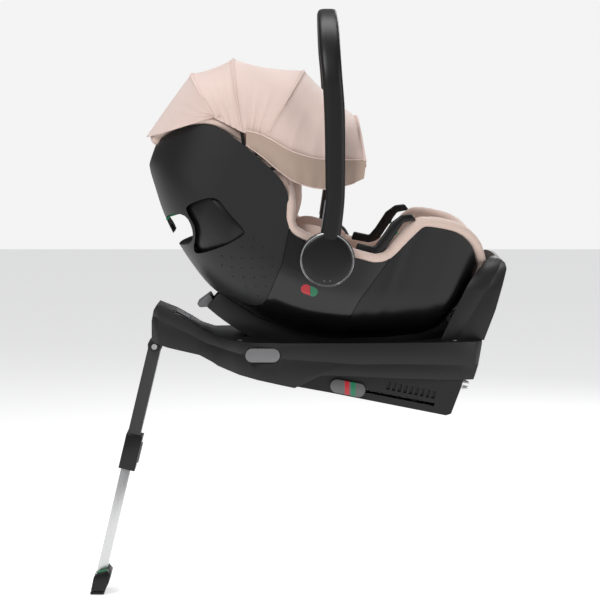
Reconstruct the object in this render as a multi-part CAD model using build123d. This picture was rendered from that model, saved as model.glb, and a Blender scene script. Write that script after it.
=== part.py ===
"""Infant car seat on a swivelling ISOFIX base with a support leg.

Millimetres, +Z up, +X towards the child's feet and the vehicle backrest, +Y to the child's left.
Shapes are drawn about a working datum, and saved about the row's origin: the point midway
between the two ISOFIX anchor bars, which lies at ANCHOR_X, ANCHOR_Z from the datum.
"""
import os
from math import cos, sin, pi, radians, hypot

from build123d import *

# ---- driving dimensions ----
HUB_X, HUB_Z = -252.0, 250.0          # handle pivots
CARRIER_TILT = 20.0                   # degrees the carrier leans, feet down
SKIN = 4.0                            # outer shell wall
TURN_X = -218.0                       # turntable axis
RECLINE_Z = 427.0                     # height of the recline centre above the turntable axis
CRADLE_R = 366.0                      # radius of the cradle's sliding underside
BASE_TOP = 103.0
WALL = 3.5                            # base wall
WELL_R = 173.0                        # round well in the base that holds the turntable
WELL_FLOOR = 50.0
SEAT_SLOPE = 11.3                     # degrees, slope of the vehicle seat cushion
ISOFIX_Y = 140.0                      # half the spacing of the anchor bars
ANCHOR_X, ANCHOR_Z, ANCHOR_R = -11.0, 26.0, 3.0
HANDLE_Y = 220.0                      # outer faces of the handle arms
HANDLE_TOP = 682.0
LEG_X, LEG_Z = -559.0, 82.0           # support leg hinge
LEG_TILT = 13.5
FLOOR_Z = -368.0
CANOPY_X, CANOPY_Z = -390.0, 403.0    # canopy bow pivots
CANOPY_Y = 168.0                      # half width of the canopy fabric
REACH = 400.0                         # longer than anything that a cutter has to pass

CARRIER = Plane(origin=(HUB_X, 0, HUB_Z), x_dir=(cos(radians(CARRIER_TILT)), 0, -sin(radians(CARRIER_TILT))),
                z_dir=(sin(radians(CARRIER_TILT)), 0, cos(radians(CARRIER_TILT)))).location
LEG = Plane(origin=(LEG_X, 0, LEG_Z), x_dir=(cos(radians(LEG_TILT)), 0, -sin(radians(LEG_TILT))),
            z_dir=(sin(radians(LEG_TILT)), 0, cos(radians(LEG_TILT)))).location
ARMS = Plane(origin=(0, 0, 0), x_dir=(cos(radians(SEAT_SLOPE)), 0, -sin(radians(SEAT_SLOPE))),
             z_dir=(sin(radians(SEAT_SLOPE)), 0, cos(radians(SEAT_SLOPE)))).location


# ---- small helpers ----
def side_face(points):
    """A face in the side view from a closed polygon of (x, z) points."""
    return make_face(Polyline(*[(x, 0, z) for x, z in points], close=True))


def prism(points, y0, y1):
    """A side-view polygon carried from y0 to y1."""
    return Pos(0, y0, 0) * extrude(side_face(points), amount=y1 - y0, dir=(0, 1, 0))


def block(x0, x1, y0, y1, z0, z1):
    return Pos((x0 + x1) / 2, (y0 + y1) / 2, (z0 + z1) / 2) * Box(x1 - x0, y1 - y0, z1 - z0)


def rod_y(x, z, radius, y0, y1):
    """A round bar along Y."""
    return Pos(x, (y0 + y1) / 2, z) * Rot(90, 0, 0) * Cylinder(radius, y1 - y0)


def disc_z(x, radius, z0, z1):
    """A round plate standing on the Z axis through (x, 0)."""
    return Pos(x, 0, (z0 + z1) / 2) * Cylinder(radius, z1 - z0)


def both_sides(shape):
    """The shape and its mirror image across the middle plane."""
    return Compound(children=[shape, mirror(shape, about=Plane.XZ)])


def edge_band(line, inner, outer):
    """A closed outline between two offsets of an open line of points."""
    def shifted(distance):
        moved = []
        for i, (x, z) in enumerate(line):
            ax, az = line[max(i - 1, 0)]
            bx, bz = line[min(i + 1, len(line) - 1)]
            length = hypot(bx - ax, bz - az)
            moved.append((x - (bz - az) / length * distance, z + (bx - ax) / length * distance))
        return moved
    return shifted(inner) + shifted(outer)[::-1]


# ---- the carrier's hull: U sections along its length, in the carrier's own tilted frame ----
# station along the hull, half width, height of the keel, depth of the rounded part, height of the rim
HULL = [(-349, 78, 37, 30, 80), (-341, 100, 24, 50, 96), (-325, 125, 3, 75, 116), (-300, 148, -29, 95, 134),
        (-268, 163, -62, 112, 147), (-225, 173, -96, 122, 142), (-175, 178, -127, 125, 125),
        (-125, 182, -141, 122, 103), (-104, 184, -145, 121, 84), (-91, 185, -148, 120, 60),
        (-80, 186, -150, 119, 30), (-60, 187, -152, 118, 17), (0, 189, -151, 112, 15), (60, 185, -140, 108, 18),
        (82, 182, -133, 107, 22), (98, 178, -126, 106, 36), (108, 176, -122, 105, 58), (119, 174, -118, 105, 84),
        (131, 170, -113, 104, 104), (150, 165, -106, 103, 112), (180, 155, -92, 100, 117),
        (205, 146, -81, 98, 116), (230, 131, -60, 90, 105), (246, 113, -22, 75, 88), (256, 96, 15, 45, 72),
        (263, 80, 38, 18, 60)]
HULL_POWER = 2.5
RIM = [(-355, 70)] + [(u, rim) for u, _, _, _, rim in HULL] + [(270, 42)]
BACK_EDGE = [(-98, 210), (-101, 83), (-88.5, 59), (-80, 29), (-75, -3), (-70, -36), (-72, -72), (-73, -101),
             (-77, -116), (-88, -124), (-106, -127), (-130, -124), (-158, -134), (-180, -180), (-420, -180),
             (-420, 210)]
FOOT_EDGE = [(73, -180), (76, -110), (74, -75), (79, -45), (88, -16), (97, 15), (107, 50), (120, 83),
             (129, 104), (133, 200), (330, 200), (330, -180)]


def u_points(u, width, keel, shoulder, rim):
    """The U curve of one station, from the rim on one side down and up to the other."""
    shoulder = max(min(shoulder, rim - 2), keel + 4)
    turns = 18
    points = [(u, width, rim)]
    for i in range(turns + 1):
        angle = pi * i / turns
        across = abs(cos(angle)) ** (2 / HULL_POWER) * (1 if cos(angle) >= 0 else -1)
        points.append((u, width * across, shoulder - (shoulder - keel) * abs(sin(angle)) ** (2 / HULL_POWER)))
    return points + [(u, -width, rim)]


def skinned(sections):
    """A solid through closed sections that all have the same number of corners."""
    return loft([make_face(Polyline(*section, close=True)) for section in sections], ruled=True)


def layer(outside, inside, lift=0.0):
    """One layer of the hull between two insets, each (side, floor, ends), closed at both ends."""
    first, last = HULL[0][0], HULL[-1][0]

    def line(station, inset):
        u, width, keel, depth, rim = station
        half = width - inset[0]
        points = u_points(u, half, keel + inset[1], keel + depth, rim + min(lift, 0))
        return [(u, half, rim + lift)] + points[1:-1] + [(u, -half, rim + lift)]
    reach = [s for s in HULL if first + outside[2] <= s[0] <= last - outside[2]]
    hollow = [s for s in reach if first + inside[2] <= s[0] <= last - inside[2] and s[2] + inside[1] < s[4] - 8]
    head = [s for s in reach if s[0] <= hollow[0][0]]
    foot = [s for s in reach if s[0] >= hollow[-1][0]]
    body = skinned([line(s, outside) + line(s, inside)[::-1] for s in hollow])
    for part in (head, foot):
        if len(part) > 1:
            body = body + skinned([line(s, outside) for s in part])
    return body


def whole_hull(grow):
    """The hull's full solid, grown outwards, with straight sides above its shoulders."""
    sections = []
    for u, width, keel, depth, rim in HULL:
        points = u_points(u, width + grow, keel - grow, keel + depth, rim)
        sections.append([(u, width + grow, 230)] + points[1:-1] + [(u, -width - grow, 230)])
    return skinned(sections)


def in_carrier(points):
    """Side points of the row's frame, turned into the carrier's frame."""
    c, s = cos(radians(CARRIER_TILT)), sin(radians(CARRIER_TILT))
    return [((x - HUB_X) * c - (z - HUB_Z) * s, (x - HUB_X) * s + (z - HUB_Z) * c) for x, z in points]


BELT_SLOT = in_carrier([(-527, 296), (-537, 313), (-529, 322), (-511, 326), (-496, 321), (-487, 303), (-485, 285),
                        (-491, 272), (-502, 269), (-530, 262), (-545, 274), (-522, 284)])
SCOOP = in_carrier([(-499, 340), (-464, 354), (-448, 355), (-438, 350), (-420, 326), (-397, 302), (-394, 293),
                    (-403, 286), (-427, 272), (-464, 258), (-480, 254), (-486, 262), (-481, 285), (-482, 304),
                    (-494, 325)])
HOOK = [(41, 12), (55, 12), (84, 24), (92, 55), (100, 88), (104, 103), (123, 115), (112, 122), (96, 114),
        (84, 96), (76, 62), (70, 46), (41, 42)]
CANOPY_U, CANOPY_V = in_carrier([(CANOPY_X, CANOPY_Z)])[0]
POCKET_Y = 162.4                      # canopy arms run outside this, inside the skin


def handle_bores():
    return rod_y(0, 0, 14.0, -REACH, REACH)


def carrier_skin():
    return layer((0, 0, 0), (SKIN, SKIN, SKIN)) - prism(BELT_SLOT, -REACH, REACH) - handle_bores()


def seat_shell():
    return carrier_skin() - prism(BACK_EDGE, -REACH, REACH) - prism(FOOT_EDGE, -REACH, REACH)


def back_panel():
    """The matte head end, open at the scoops beside the belt slot."""
    return (carrier_skin() & prism(BACK_EDGE, -REACH, REACH)) - both_sides(prism(SCOOP, 120, 200))


def foot_panel():
    return carrier_skin() & prism(FOOT_EDGE, -REACH, REACH)


def scoop_panels():
    """The sunk side plates behind the scoops in the back panel."""
    plate = layer((9, 9, 9), (12, 12, 12)) & prism(SCOOP, 120, 200)
    return both_sides(plate)


def canopy_pockets():
    """Room in the foam and the cover for the canopy arms to swing."""
    return both_sides(rod_y(CANOPY_U, CANOPY_V, 112.0, POCKET_Y, 174.5))


def hook_rooms():
    return both_sides(block(37, 103, 153, 170, -4, 74))


def foam_liner():
    foam = layer((SKIN, SKIN, SKIN), (24, 60, 22), lift=-5) - prism(BELT_SLOT, -REACH, REACH)
    scoops = both_sides(layer((3, 3, 3), (12.6, 12.6, 12.6)) & prism(SCOOP, 116, 200))
    return foam - scoops - canopy_pockets() - hook_rooms() - handle_bores()


def seat_cover():
    """The padded cover: a lining of the bucket with a rolled edge over the rim."""
    lining = layer((24, 60, 22), (35, 72, 34), lift=14)
    strips = []
    for u, width, keel, depth, rim in HULL:
        low, high = rim + 0.4, rim + 14
        edge = 162.0 if -250 < u < -100 else width + 1.5
        strips.append(make_face(Polyline((u, width - 30, low), (u, edge, low), (u, edge, high),
                                         (u, width - 30, high), close=True)))
    strip = loft(strips, ruled=True)
    return lining + strip + mirror(strip, about=Plane.XZ) - canopy_pockets() - hook_rooms() - both_sides(
        rod_y(0, 0, 20.6, 188.8, 200)) - both_sides(rod_y(CANOPY_U, CANOPY_V, 120.0, 154, 172))


def belt_hooks():
    return both_sides(prism(HOOK, 156, 168))


def belt_guide_marks():
    """Green guides: a strip along the upper lip of the belt slot, and a plate inside each hook."""
    lip = in_carrier([(-535.6, 312.4), (-528.2, 320.6), (-512, 324.6), (-511.5, 322), (-526.6, 317.6), (-532.6, 311.6)])
    face = in_carrier([(-146, 291), (-125, 312), (-130, 292), (-152, 277)])
    plate = prism(face, 157, 167) - prism(HOOK, 150, 172)
    return Compound(children=[prism(lip, -92, 92), *both_sides(plate).solids()])


def badge():
    """A plain two-part button plate on the near side of the shell."""
    plate = Pos(-10, -188, -62) * Rot(84, 0, 0) * extrude(SlotOverall(30, 16), amount=8, both=True)
    return plate & (whole_hull(1.4) - whole_hull(0.05))


def handle_pivots():
    """Steel hub pins through the shell wall, with a flange inside it."""
    pin = rod_y(0, 0, 12.0, 176, 213.5) + rod_y(0, 0, 20, 189.3, 195.4)
    return both_sides(pin)


# ---- harness, inside the bucket ----
BACK_LINE = [(-150, -63), (-300, 46)]


def on_back(along, lift):
    """A point on the backrest: along the slope from its foot, and lifted off it."""
    (u0, v0), (u1, v1) = BACK_LINE
    length = hypot(u1 - u0, v1 - v0)
    cu, cv = (u1 - u0) / length, (v1 - v0) / length
    return u0 + cu * along - cv * -lift, v0 + cv * along + cu * -lift


def strap_layer(low, high):
    """The space between two heights over the seat surface."""
    return layer((35 + low, 72 + low, 34), (35 + high, 72 + high, 34), lift=-8)


def plan_strip(points, width):
    """A strip of the given width along a plan line of (u, y) points, carried up and down."""
    line = edge_band(points, -width / 2, width / 2)
    return extrude(make_face(Polyline(*[(u, y, -200) for u, y in line], close=True)), amount=400, dir=(0, 0, 1))


def harness_straps():
    strip = plan_strip([(-168, 52), (-120, 50), (-60, 38), (-12, 20)], 38)
    adjuster = strap_layer(1, 3.5) & block(92, 190, -16, 16, -200, 200)
    return Compound(children=[*both_sides(strap_layer(7, 9.5) & strip).solids(), *adjuster.solids()])


def shoulder_pads():
    strip = plan_strip([(-146, 51), (-120, 50), (-72, 41)], 52)
    return both_sides(strap_layer(10, 22) & strip)


def buckle():
    return (Pos(8, 0, -47) * Rot(0, 8, 0) * Box(52, 44, 20)) - (Pos(16, 0, -40) * Rot(0, 8, 0) * Box(22.6, 20.6, 14))


def buckle_button():
    return Pos(16, 0, -38.2) * Rot(0, 8, 0) * Box(22, 20, 7)


def crotch_pad():
    return strap_layer(1, 10) & block(34, 86, -22, 22, -200, 200)


def seat_insert():
    """The newborn cushion in the seat of the bucket."""
    pad = strap_layer(0.6, 6) & block(-150, 31, -100, 100, -200, 200)
    return pad - block(-20, 40, -24, 24, -200, 200)


def headrest():
    """A winged head cushion that lies on the backrest, one section carried up the slope."""
    half = [(0, 2), (58, 2), (90, 22), (92, 80), (70, 80), (64, 34), (46, 26), (0, 26)]
    ring = half + [(-y, w) for y, w in half[-2:0:-1]]
    faces = []
    for along in (26, 124):
        points = [(*on_back(along, w), y) for y, w in ring]
        faces.append(make_face(Polyline(*[(u, y, v) for u, v, y in points], close=True)))
    return loft(faces, ruled=True)


# ---- handle: an inverted U of two half shells, in the row's frame ----
ARM_T = 24.0
BEND_R = 135.0
HANDLE_LEFT_EDGE = [(-268, 270), (-262, 305), (-255, 354), (-256, 433), (-258, 520), (-264, 613), (-267, 690)]
HANDLE_RIGHT_EDGE = [(-233, 690), (-227, 603), (-222, 520), (-221, 433), (-222, 351), (-227, 302), (-232, 265)]
LEVER = [(-256, 353), (-245, 353), (-252, 305), (-263, 305)]
LEVER_Y = (200.5, 215.5)


def handle_arch(inset):
    """A solid under the handle's outline, moved in by inset."""
    half, top = HANDLE_Y - inset, HANDLE_TOP - inset
    body = block(-330, -180, -half, half, HUB_Z, top)
    edges = [e for e in body.edges().filter_by(Axis.X) if e.center().Z > top - 1]
    return fillet(edges, BEND_R - inset)


def handle_half(near, far, ring):
    """One half shell of the handle: between two insets, with a hub ring of the same depth."""
    side = make_face(Spline(*[(x, 0, z) for x, z in HANDLE_LEFT_EDGE])
                     + Line((-267, 0, 690), (-233, 0, 690))
                     + Spline(*[(x, 0, z) for x, z in HANDLE_RIGHT_EDGE])
                     + Line((-232, 0, 265), (-268, 0, 270)))
    band = Pos(0, -REACH, 0) * extrude(side, amount=2 * REACH, dir=(0, 1, 0))
    arch = (handle_arch(near) - handle_arch(far)) & band
    hub = both_rods(ring, HANDLE_Y - far, HANDLE_Y - near)
    room = grown_lever()
    return arch + hub - both_rods(12.05, 190, 214.05) - room - mirror(room, about=Plane.XZ)


def both_rods(radius, y0, y1):
    rod = rod_y(HUB_X, HUB_Z, radius, y0, y1)
    return rod + mirror(rod, about=Plane.XZ)


def grown_lever():
    """The pocket of a release lever, with room for its 3 mm stroke."""
    pocket = [(-275, 353.6), (-240, 353.6), (-247.4, 304.4), (-282, 304.4)]
    return prism(pocket, LEVER_Y[0] - 0.4, LEVER_Y[1] + 0.4)


def handle_inner():
    return handle_half(12, 24, 44)


def handle_outer():
    return handle_half(0.0, 12, 44) - both_rods(48.2, 213.9, 230)


def hub_covers():
    return both_sides(rod_y(HUB_X, HUB_Z, 48, 214.2, 222))


def handle_lever(side):
    return prism(LEVER, LEVER_Y[0], LEVER_Y[1]) if side > 0 else prism(LEVER, -LEVER_Y[1], -LEVER_Y[0])


# ---- canopy: arches about the pivot line, in the row's frame ----
BOW_REAR = (122, 190, 162.0)          # angle of the arch, its height, its half width
BOW_MIDDLE = (98.4, 190, 165.3)
BOW_FORWARD = (60, 194, 167.8)
FRONT_TOP, FRONT_SIDE = (-199, 491), (-186, 411)
REAR_TOP, REAR_SIDE = (-573, 456), (-436, 498)
BOW_T = 2.2
SHEET = 2.5


def arch_face(angle, height, half, foot, power=2.6, thick=SHEET):
    """A band in the plane through the pivot line at the angle, from foot height up over the top."""
    direction = (cos(radians(angle)), sin(radians(angle)))

    def curve(h, w):
        points = []
        steps = 12
        for i in range(steps + 1):
            a = pi * i / steps
            across = abs(cos(a)) ** (2 / power) * (1 if cos(a) >= 0 else -1) * w
            r = foot + (h - foot) * sin(a) ** (2 / power) if 0 < i < steps else foot
            points.append((CANOPY_X + direction[0] * r, across, CANOPY_Z + direction[1] * r))
        return points
    outer, inner = curve(height, half), curve(height - thick, half - thick)
    return make_face(Polyline(*outer, *inner[::-1], close=True))


def leaning_arch(top, side, half, inset=0.0, thick=SHEET):
    """A band in the plane that leans from the top point to the side point, level across."""
    (tx, tz), (sx, sz) = top, side
    length = hypot(tx - sx, tz - sz)

    def curve(cut):
        points = []
        steps, power = 12, 2.6
        for i in range(steps + 1):
            a = pi * i / steps
            across = abs(cos(a)) ** (2 / power) * (1 if cos(a) >= 0 else -1) * (half - cut)
            share = (sin(a) ** (2 / power) if 0 < i < steps else 0.0) * (1 - cut / length)
            points.append((sx + (tx - sx) * share, across, sz + (tz - sz) * share))
        return points
    return make_face(Polyline(*curve(inset), *curve(inset + thick)[::-1], close=True))


def strip_from(face, angle, width=8.0):
    """An arch band given a width across its own plane."""
    normal = Vector(-sin(radians(angle)), 0, cos(radians(angle)))
    return extrude(face, amount=width / 2, dir=normal) + extrude(face, amount=width / 2, dir=-normal)


def bow_arm(angle, length, outside):
    """A flat arm from the pivot eye out along the angle, 2 mm thick, on both sides."""
    turned = Pos(CANOPY_X, 0, CANOPY_Z) * Rot(0, -angle, 0)
    arm = turned * block(0, length, outside - 2.0, outside, -3, 3) + rod_y(CANOPY_X, CANOPY_Z, 8, outside - 2.0, outside)
    arm = arm - rod_y(CANOPY_X, CANOPY_Z, 4.05, -REACH, REACH)
    return arm + mirror(arm, about=Plane.XZ)


def bow(spec, outside):
    """A sprung strip: an arch with two flat arms that turn on the pivots."""
    angle, height, half = spec
    arch = arch_face(angle, height, half, 56, thick=BOW_T)
    return strip_from(arch, angle, 6.0) + bow_arm(angle, 62, outside)


def front_bow():
    """The wire of the front opening, on arms that turn on the pivots."""
    arch = leaning_arch(FRONT_TOP, FRONT_SIDE, 172.0, 0.2, BOW_T)
    reach = FRONT_SIDE[0] - CANOPY_X + 2
    return strip_from(arch, 8.0, 6.0) + bow_arm(2.2, reach, 171.8)


def canopy_pivots():
    return both_sides(rod_y(CANOPY_X, CANOPY_Z, 4.0, 163.0, 172.7))


REAR_FOOT = 104.0


def canopy_rear_panel():
    """The fixed rear of the canopy, from the rear bow down round the head end."""
    low = leaning_arch(REAR_TOP, REAR_SIDE, CANOPY_Y)
    return loft([low, arch_face(122, 194, CANOPY_Y, REAR_FOOT)], ruled=True) - rear_bow_room()


def canopy_gore(first, second):
    cloth = loft([first, second], ruled=True) - bow_room(BOW_MIDDLE) - bow_room(BOW_FORWARD)
    return cloth - rear_bow_room() - front_bow_room()


def bow_room(spec):
    """The space round a bow, cut from the fabric that is drawn over it."""
    angle, height, half = spec
    room = strip_from(arch_face(angle, height + 1, half + 1, 56, thick=BOW_T + 5), angle, 12)
    turned = Pos(CANOPY_X, 0, CANOPY_Z) * Rot(0, -angle, 0)
    return room + turned * block(0, 66, -172, 172, -4.6, 4.6)


def rear_bow_room():
    angle, height, half = BOW_REAR
    return strip_from(arch_face(angle, height + 1, half + 1, REAR_FOOT + 5, thick=BOW_T + 5), angle, 10)


def front_bow_room():
    return strip_from(leaning_arch(FRONT_TOP, FRONT_SIDE, 173.0, 0, BOW_T + 3), 8.0, 7.6)


def rear_bow():
    angle, height, half = BOW_REAR
    return strip_from(arch_face(angle, height, half, REAR_FOOT + 5, thick=BOW_T), angle)


VALANCE = [(-362, 454), (-326, 434), (-299, 420), (-259, 411), (-220, 410), (-184, 411),
           (-188, 382), (-209, 369), (-252, 370), (-281, 373), (-316, 387), (-362, 424)]


VALANCE_Y = 173.4


def canopy_valance():
    return both_sides(prism(VALANCE, VALANCE_Y, VALANCE_Y + 2.5))


# ---- base ----
PLAN = [(-566, 0), (-564, 40), (-552, 56), (-520, 62), (-480, 64), (-455, 80), (-432, 120), (-405, 164), (-372, 186),
        (-330, 191), (-218, 190), (-110, 182), (-20, 170), (8, 160), (20, 140), (22, 0)]
BODY = [(-563, 91), (-566, 118), (-560, 148), (-553, 157), (-522, 144), (-495, 129), (-476, 117), (-453, 108),
        (-420, BASE_TOP), (21, BASE_TOP), (13, 62), (4, 37), (-31, 37), (-240, 47), (-262, 47), (-308, 25),
        (-404, 45), (-444, 54), (-477, 69), (-535, 82)]
BOX = [(-300, 60), (-312, 26), (-246, 14), (-44, -26), (-35, -23), (-17, 25), (-8, 60)]
SEAM = [(-600, 140), (-556, 136), (-539, 127), (-488, 103), (-462, 90), (-428, 85), (-394, 81), (-330, 76),
        (-198, 66), (-123, 66), (13, 62), (60, 62), (60, -100), (-600, -100)]
BOX_Y = 165.0
LEG_SLOT = (-580, -505, 34.0)
PIN_R = 5.0


def base_solid(inset):
    """The body and the lower box of the base, moved in by inset."""
    plan = make_face(Polyline(*PLAN, *[(x, -y) for x, y in PLAN[-2:0:-1]], close=True))
    body, box = side_face(BODY), side_face(BOX)
    if inset:
        plan, body, box = (offset(face, amount=-inset, kind=Kind.INTERSECTION) for face in (plan, body, box))
    side = Pos(0, -REACH, 0) * extrude(body, amount=2 * REACH, dir=(0, 1, 0))
    top = extrude(plan, amount=REACH, dir=(0, 0, 1)) & side
    half = BOX_Y - inset
    return top + Pos(0, -half, 0) * extrude(box, amount=2 * half, dir=(0, 1, 0))


def base_hollow():
    return base_solid(WALL) + block(-285, -30, -(BOX_Y - WALL), BOX_Y - WALL, 25, 60)


def well():
    """The turntable's round well, with a bevel that the cradle passes over."""
    profile = [(0, WELL_FLOOR), (WELL_R, WELL_FLOOR), (WELL_R, 95.0), (191, 105.6), (191, 160), (0, 160)]
    return Pos(TURN_X, 0, 0) * revolve(make_face(Polyline(*[(r, 0, z) for r, z in profile], close=True)), Axis.Z, 360)


def tub():
    """The round well's wall and floor, with the bore that the turntable's hub turns in."""
    return disc_z(TURN_X, WELL_R + WALL, WELL_FLOOR - WALL, BASE_TOP) - disc_z(TURN_X, 30.0, 0, 200) - well()


def base_cuts():
    """Slots for the leg, its hinge pin, the swivel buttons, the ISOFIX arms and their knobs."""
    leg = block(LEG_SLOT[0], LEG_SLOT[1], -LEG_SLOT[2], LEG_SLOT[2], 0, 118)
    pin = rod_y(LEG_X, LEG_Z, PIN_R, -70, 70)
    buttons = Pos(-363.5, -REACH, 82) * Rot(-90, 0, 0) * extrude(SlotOverall(60.8, 24.8), amount=2 * REACH)
    arms = ARMS * both_sides(block(-60, 90, ISOFIX_Y - 14, ISOFIX_Y + 14, -22, 36))
    knobs = ARMS * both_sides(block(-229, -62, 150, 180, -22, -16))
    return [leg, pin, buttons, arms, knobs, status_window()]


def base_shell():
    outer = base_solid(0)
    shell = outer - base_hollow() - well() + (tub() & outer)
    for cut in base_cuts():
        shell = shell - cut
    return shell


def leg_yoke():
    """Cheeks beside the leg's slot in the nose that carry the hinge pin."""
    cheek = prism([(-559, 98), (-552, 125), (-515, 118), (-515, 82), (-545, 88)], LEG_SLOT[2], LEG_SLOT[2] + 5)
    lug = rod_y(LEG_X, LEG_Z, 11, LEG_SLOT[2], LEG_SLOT[2] + 6)
    return both_sides((cheek + lug) - rod_y(LEG_X, LEG_Z, PIN_R, 0, 80))


def leg_hinge_pin():
    return rod_y(LEG_X, LEG_Z, PIN_R, -46, 46)


def status_window():
    return prism([(-520, 144.4), (-497, 131.4), (-498, 129.8), (-521, 142.6)], -24, 24)


HOUSING = [(-300, 26), (-284, 34.5), (-262, 45), (-240, 46.5), (-31, 36.5), (-14, 36.5), (-35, -22), (-44, -25),
           (-246, 14.6)]


def isofix_covers():
    """Side covers of the lower box, each with the slot that its knob runs in."""
    cover = prism(HOUSING, BOX_Y + 0.2, BOX_Y + 5)
    vents = [ARMS * block(x, x + 6, 150, 200, -9, 5) for x in range(-150, -60, 10)]
    cover = cover - ARMS * block(-229, -62, 150, 200, -22, -16)
    for vent in vents:
        cover = cover - vent
    return both_sides(cover)


def grip_pads():
    """Rubber strips on the sloped underside."""
    slope = (-26 - 14) / (-44 + 246)
    strip = prism([(-236, 14 + slope * 10), (-60, 14 + slope * 186), (-60, 11 + slope * 186), (-236, 11 + slope * 10)],
                  -110, -70)
    return strip + mirror(strip, about=Plane.XZ)


def base_screws():
    heads = [disc_z(x, 4.5, BASE_TOP, BASE_TOP + 1.2).moved(Location((0, y, 0)))
             for x in (-404, -28) for y in (-140, 140)]
    return Compound(children=heads)


# ---- rebound bar: a bar whose inner face is a cone about the turntable axis ----
REBOUND = [(-75, BASE_TOP), (24, BASE_TOP), (44, 156), (64, 228), (62, 237), (55, 243), (44, 247), (30, 248),
           (-20, 248), (-75, 240)]
REBOUND_SEAM = [(-120, BASE_TOP - 1), (-24, BASE_TOP - 1), (57, 241), (57, 300), (-120, 300)]
REBOUND_Y = 133.0


def rebound_solid(inset):
    cone = Pos(TURN_X, 0, 0) * revolve(make_face(Polyline((0, 0, 60), (195.2 + inset, 0, 60), (287 + inset, 0, 292),
                                                          (0, 0, 292), close=True)), Axis.Z, 360)
    side = side_face(REBOUND)
    if inset:
        side = offset(side, amount=-inset, kind=Kind.INTERSECTION)
    half = REBOUND_Y - inset
    corner = 60.0 - inset
    ends = Pos(0, 0, (BASE_TOP - 60 + 248) / 2 - inset) * Rot(0, 90, 0) * extrude(
        RectangleRounded(248 - BASE_TOP + 60, 2 * half, corner), amount=REACH, both=True)
    bar = Pos(0, -half, 0) * extrude(side, amount=2 * half, dir=(0, 1, 0))
    return (bar & ends) - cone


def rebound_shells():
    shell = rebound_solid(0) - rebound_solid(4.0)
    seam = prism(REBOUND_SEAM, -REACH, REACH)
    return shell & seam, shell - seam


# ---- ISOFIX arms, drawn along their slide in the ARMS frame ----
JAW = (-15.88, 23.34)                 # the anchor bar's place in the ARMS frame


ARM_Z = -12.0                         # the arm's own line lies this far under its slide line


def isofix_arm():
    tube = block(-246, -58, ISOFIX_Y - 12.5, ISOFIX_Y + 12.5, ARM_Z - 8.5, ARM_Z + 8.5)
    head = [(-62, -20), (-46, -20), (-38, -8), (-22, 14), (-8, 18), (-7, 22), (-9, 29), (-24, 32), (-62, 24)]
    jaw = prism(head, ISOFIX_Y - 12.5, ISOFIX_Y + 12.5)
    bar = rod_y(JAW[0], JAW[1], ANCHOR_R + 0.1, 100, 200)
    mouth = block(JAW[0], 40, 100, 200, JAW[1] - ANCHOR_R - 0.1, JAW[1] + ANCHOR_R + 0.1)
    return tube + jaw - bar - mouth


def cross_tube():
    return rod_y(-238, ARM_Z, 6, -(ISOFIX_Y - 12.5), ISOFIX_Y - 12.5)


def isofix_knobs():
    stem = block(-226, -206, ISOFIX_Y + 12.5, BOX_Y + 8, -21.4, -16.6)
    grip = Pos(-216, BOX_Y + 6.5, -19) * Rot(-90, 0, 0) * extrude(SlotOverall(62, 24), amount=7)
    return both_sides(stem + grip)


# ---- turntable and cradle ----
TABLE_R = WELL_R - 1.0
CRADLE_Y = 70.0


def turntable():
    body = disc_z(TURN_X, TABLE_R, WELL_FLOOR + 0.4, 93) + disc_z(TURN_X, 29.95, WELL_FLOOR - 7, WELL_FLOOR + 0.4)
    trough = rod_y(TURN_X, RECLINE_Z, CRADLE_R + 0.6, -CRADLE_Y - 0.6, CRADLE_Y + 0.6)
    rim_room = disc_z(TURN_X, TABLE_R + 5, 80, 200) - disc_z(TURN_X, TABLE_R - 8, 0, 200)
    bowl = rod_y(TURN_X, RECLINE_Z, 344, -REACH, REACH)
    return body - trough - rim_room - bowl


def turntable_nut():
    return disc_z(TURN_X, 36, WELL_FLOOR - WALL - 3.5, WELL_FLOOR - WALL - 0.6) - disc_z(TURN_X, 29.95, 0, 200)


def cradle():
    """The reclining rocker under the carrier, up to its raised head-side lip."""
    sweep = rod_y(TURN_X, RECLINE_Z, CRADLE_R, -CRADLE_Y, CRADLE_Y) - rod_y(TURN_X, RECLINE_Z, 322, -120, 120)
    wedge = [(TURN_X, RECLINE_Z), (TURN_X - 262, RECLINE_Z - 290), (TURN_X - 262, -50), (TURN_X + 190, -50),
             (TURN_X + 190, RECLINE_Z - 312)]
    room = prism([(-486, 149), (-474, 142), (-447, 150), (-440, 172), (-449, 186), (-470, 186)], -39, 39)
    return (sweep & prism(wedge, -120, 120)) - CARRIER * whole_hull(1.2) - room


def cradle_release():
    face = [(-483, 159), (-478, 152), (-463, 153), (-454, 166), (-460, 176)]
    return prism(face, -38, 38)


def rear_latch():
    """Steel latch plates at the foot end of the cradle."""
    plate = prism([(-27.9, 132), (-20, 132), (-6, 138), (0, 147), (-5, 151), (-13, 147), (-20, 142), (-27.9, 140)], 20, 44)
    return both_sides(plate)


def swivel_button(side):
    cap = Pos(-363.5, 0, 82) * Rot(-90, 0, 0) * extrude(SlotOverall(60, 24), amount=12)
    cap = Pos(0, 181, 0) * cap
    return cap if side > 0 else mirror(cap, about=Plane.XZ)


# ---- support leg, drawn down its own axis in the LEG frame ----
def leg_outer():
    tube = block(-11.2, 11.2, -26, 26, -226, -16) - block(-8.7, 8.7, -22.7, 22.7, -230, -34)
    knuckle = rod_y(0, 0, 13, -26, 26) + block(-11.2, 11.2, -26, 26, -20, 0)
    return tube + knuckle - rod_y(0, 0, PIN_R + 0.05, -40, 40)


def leg_collar():
    """The thicker end piece of the outer tube, round the height button."""
    ring = block(-13.4, 16.5, -29, 29, -230, -166) - block(-11.2, 11.2, -26, 26, -226, -100)
    ring = ring - block(-8.7, 8.7, -22.7, 22.7, -240, -200)
    return ring - block(12.0, 20, -12.4, 12.4, -216.4, -179.6)


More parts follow.
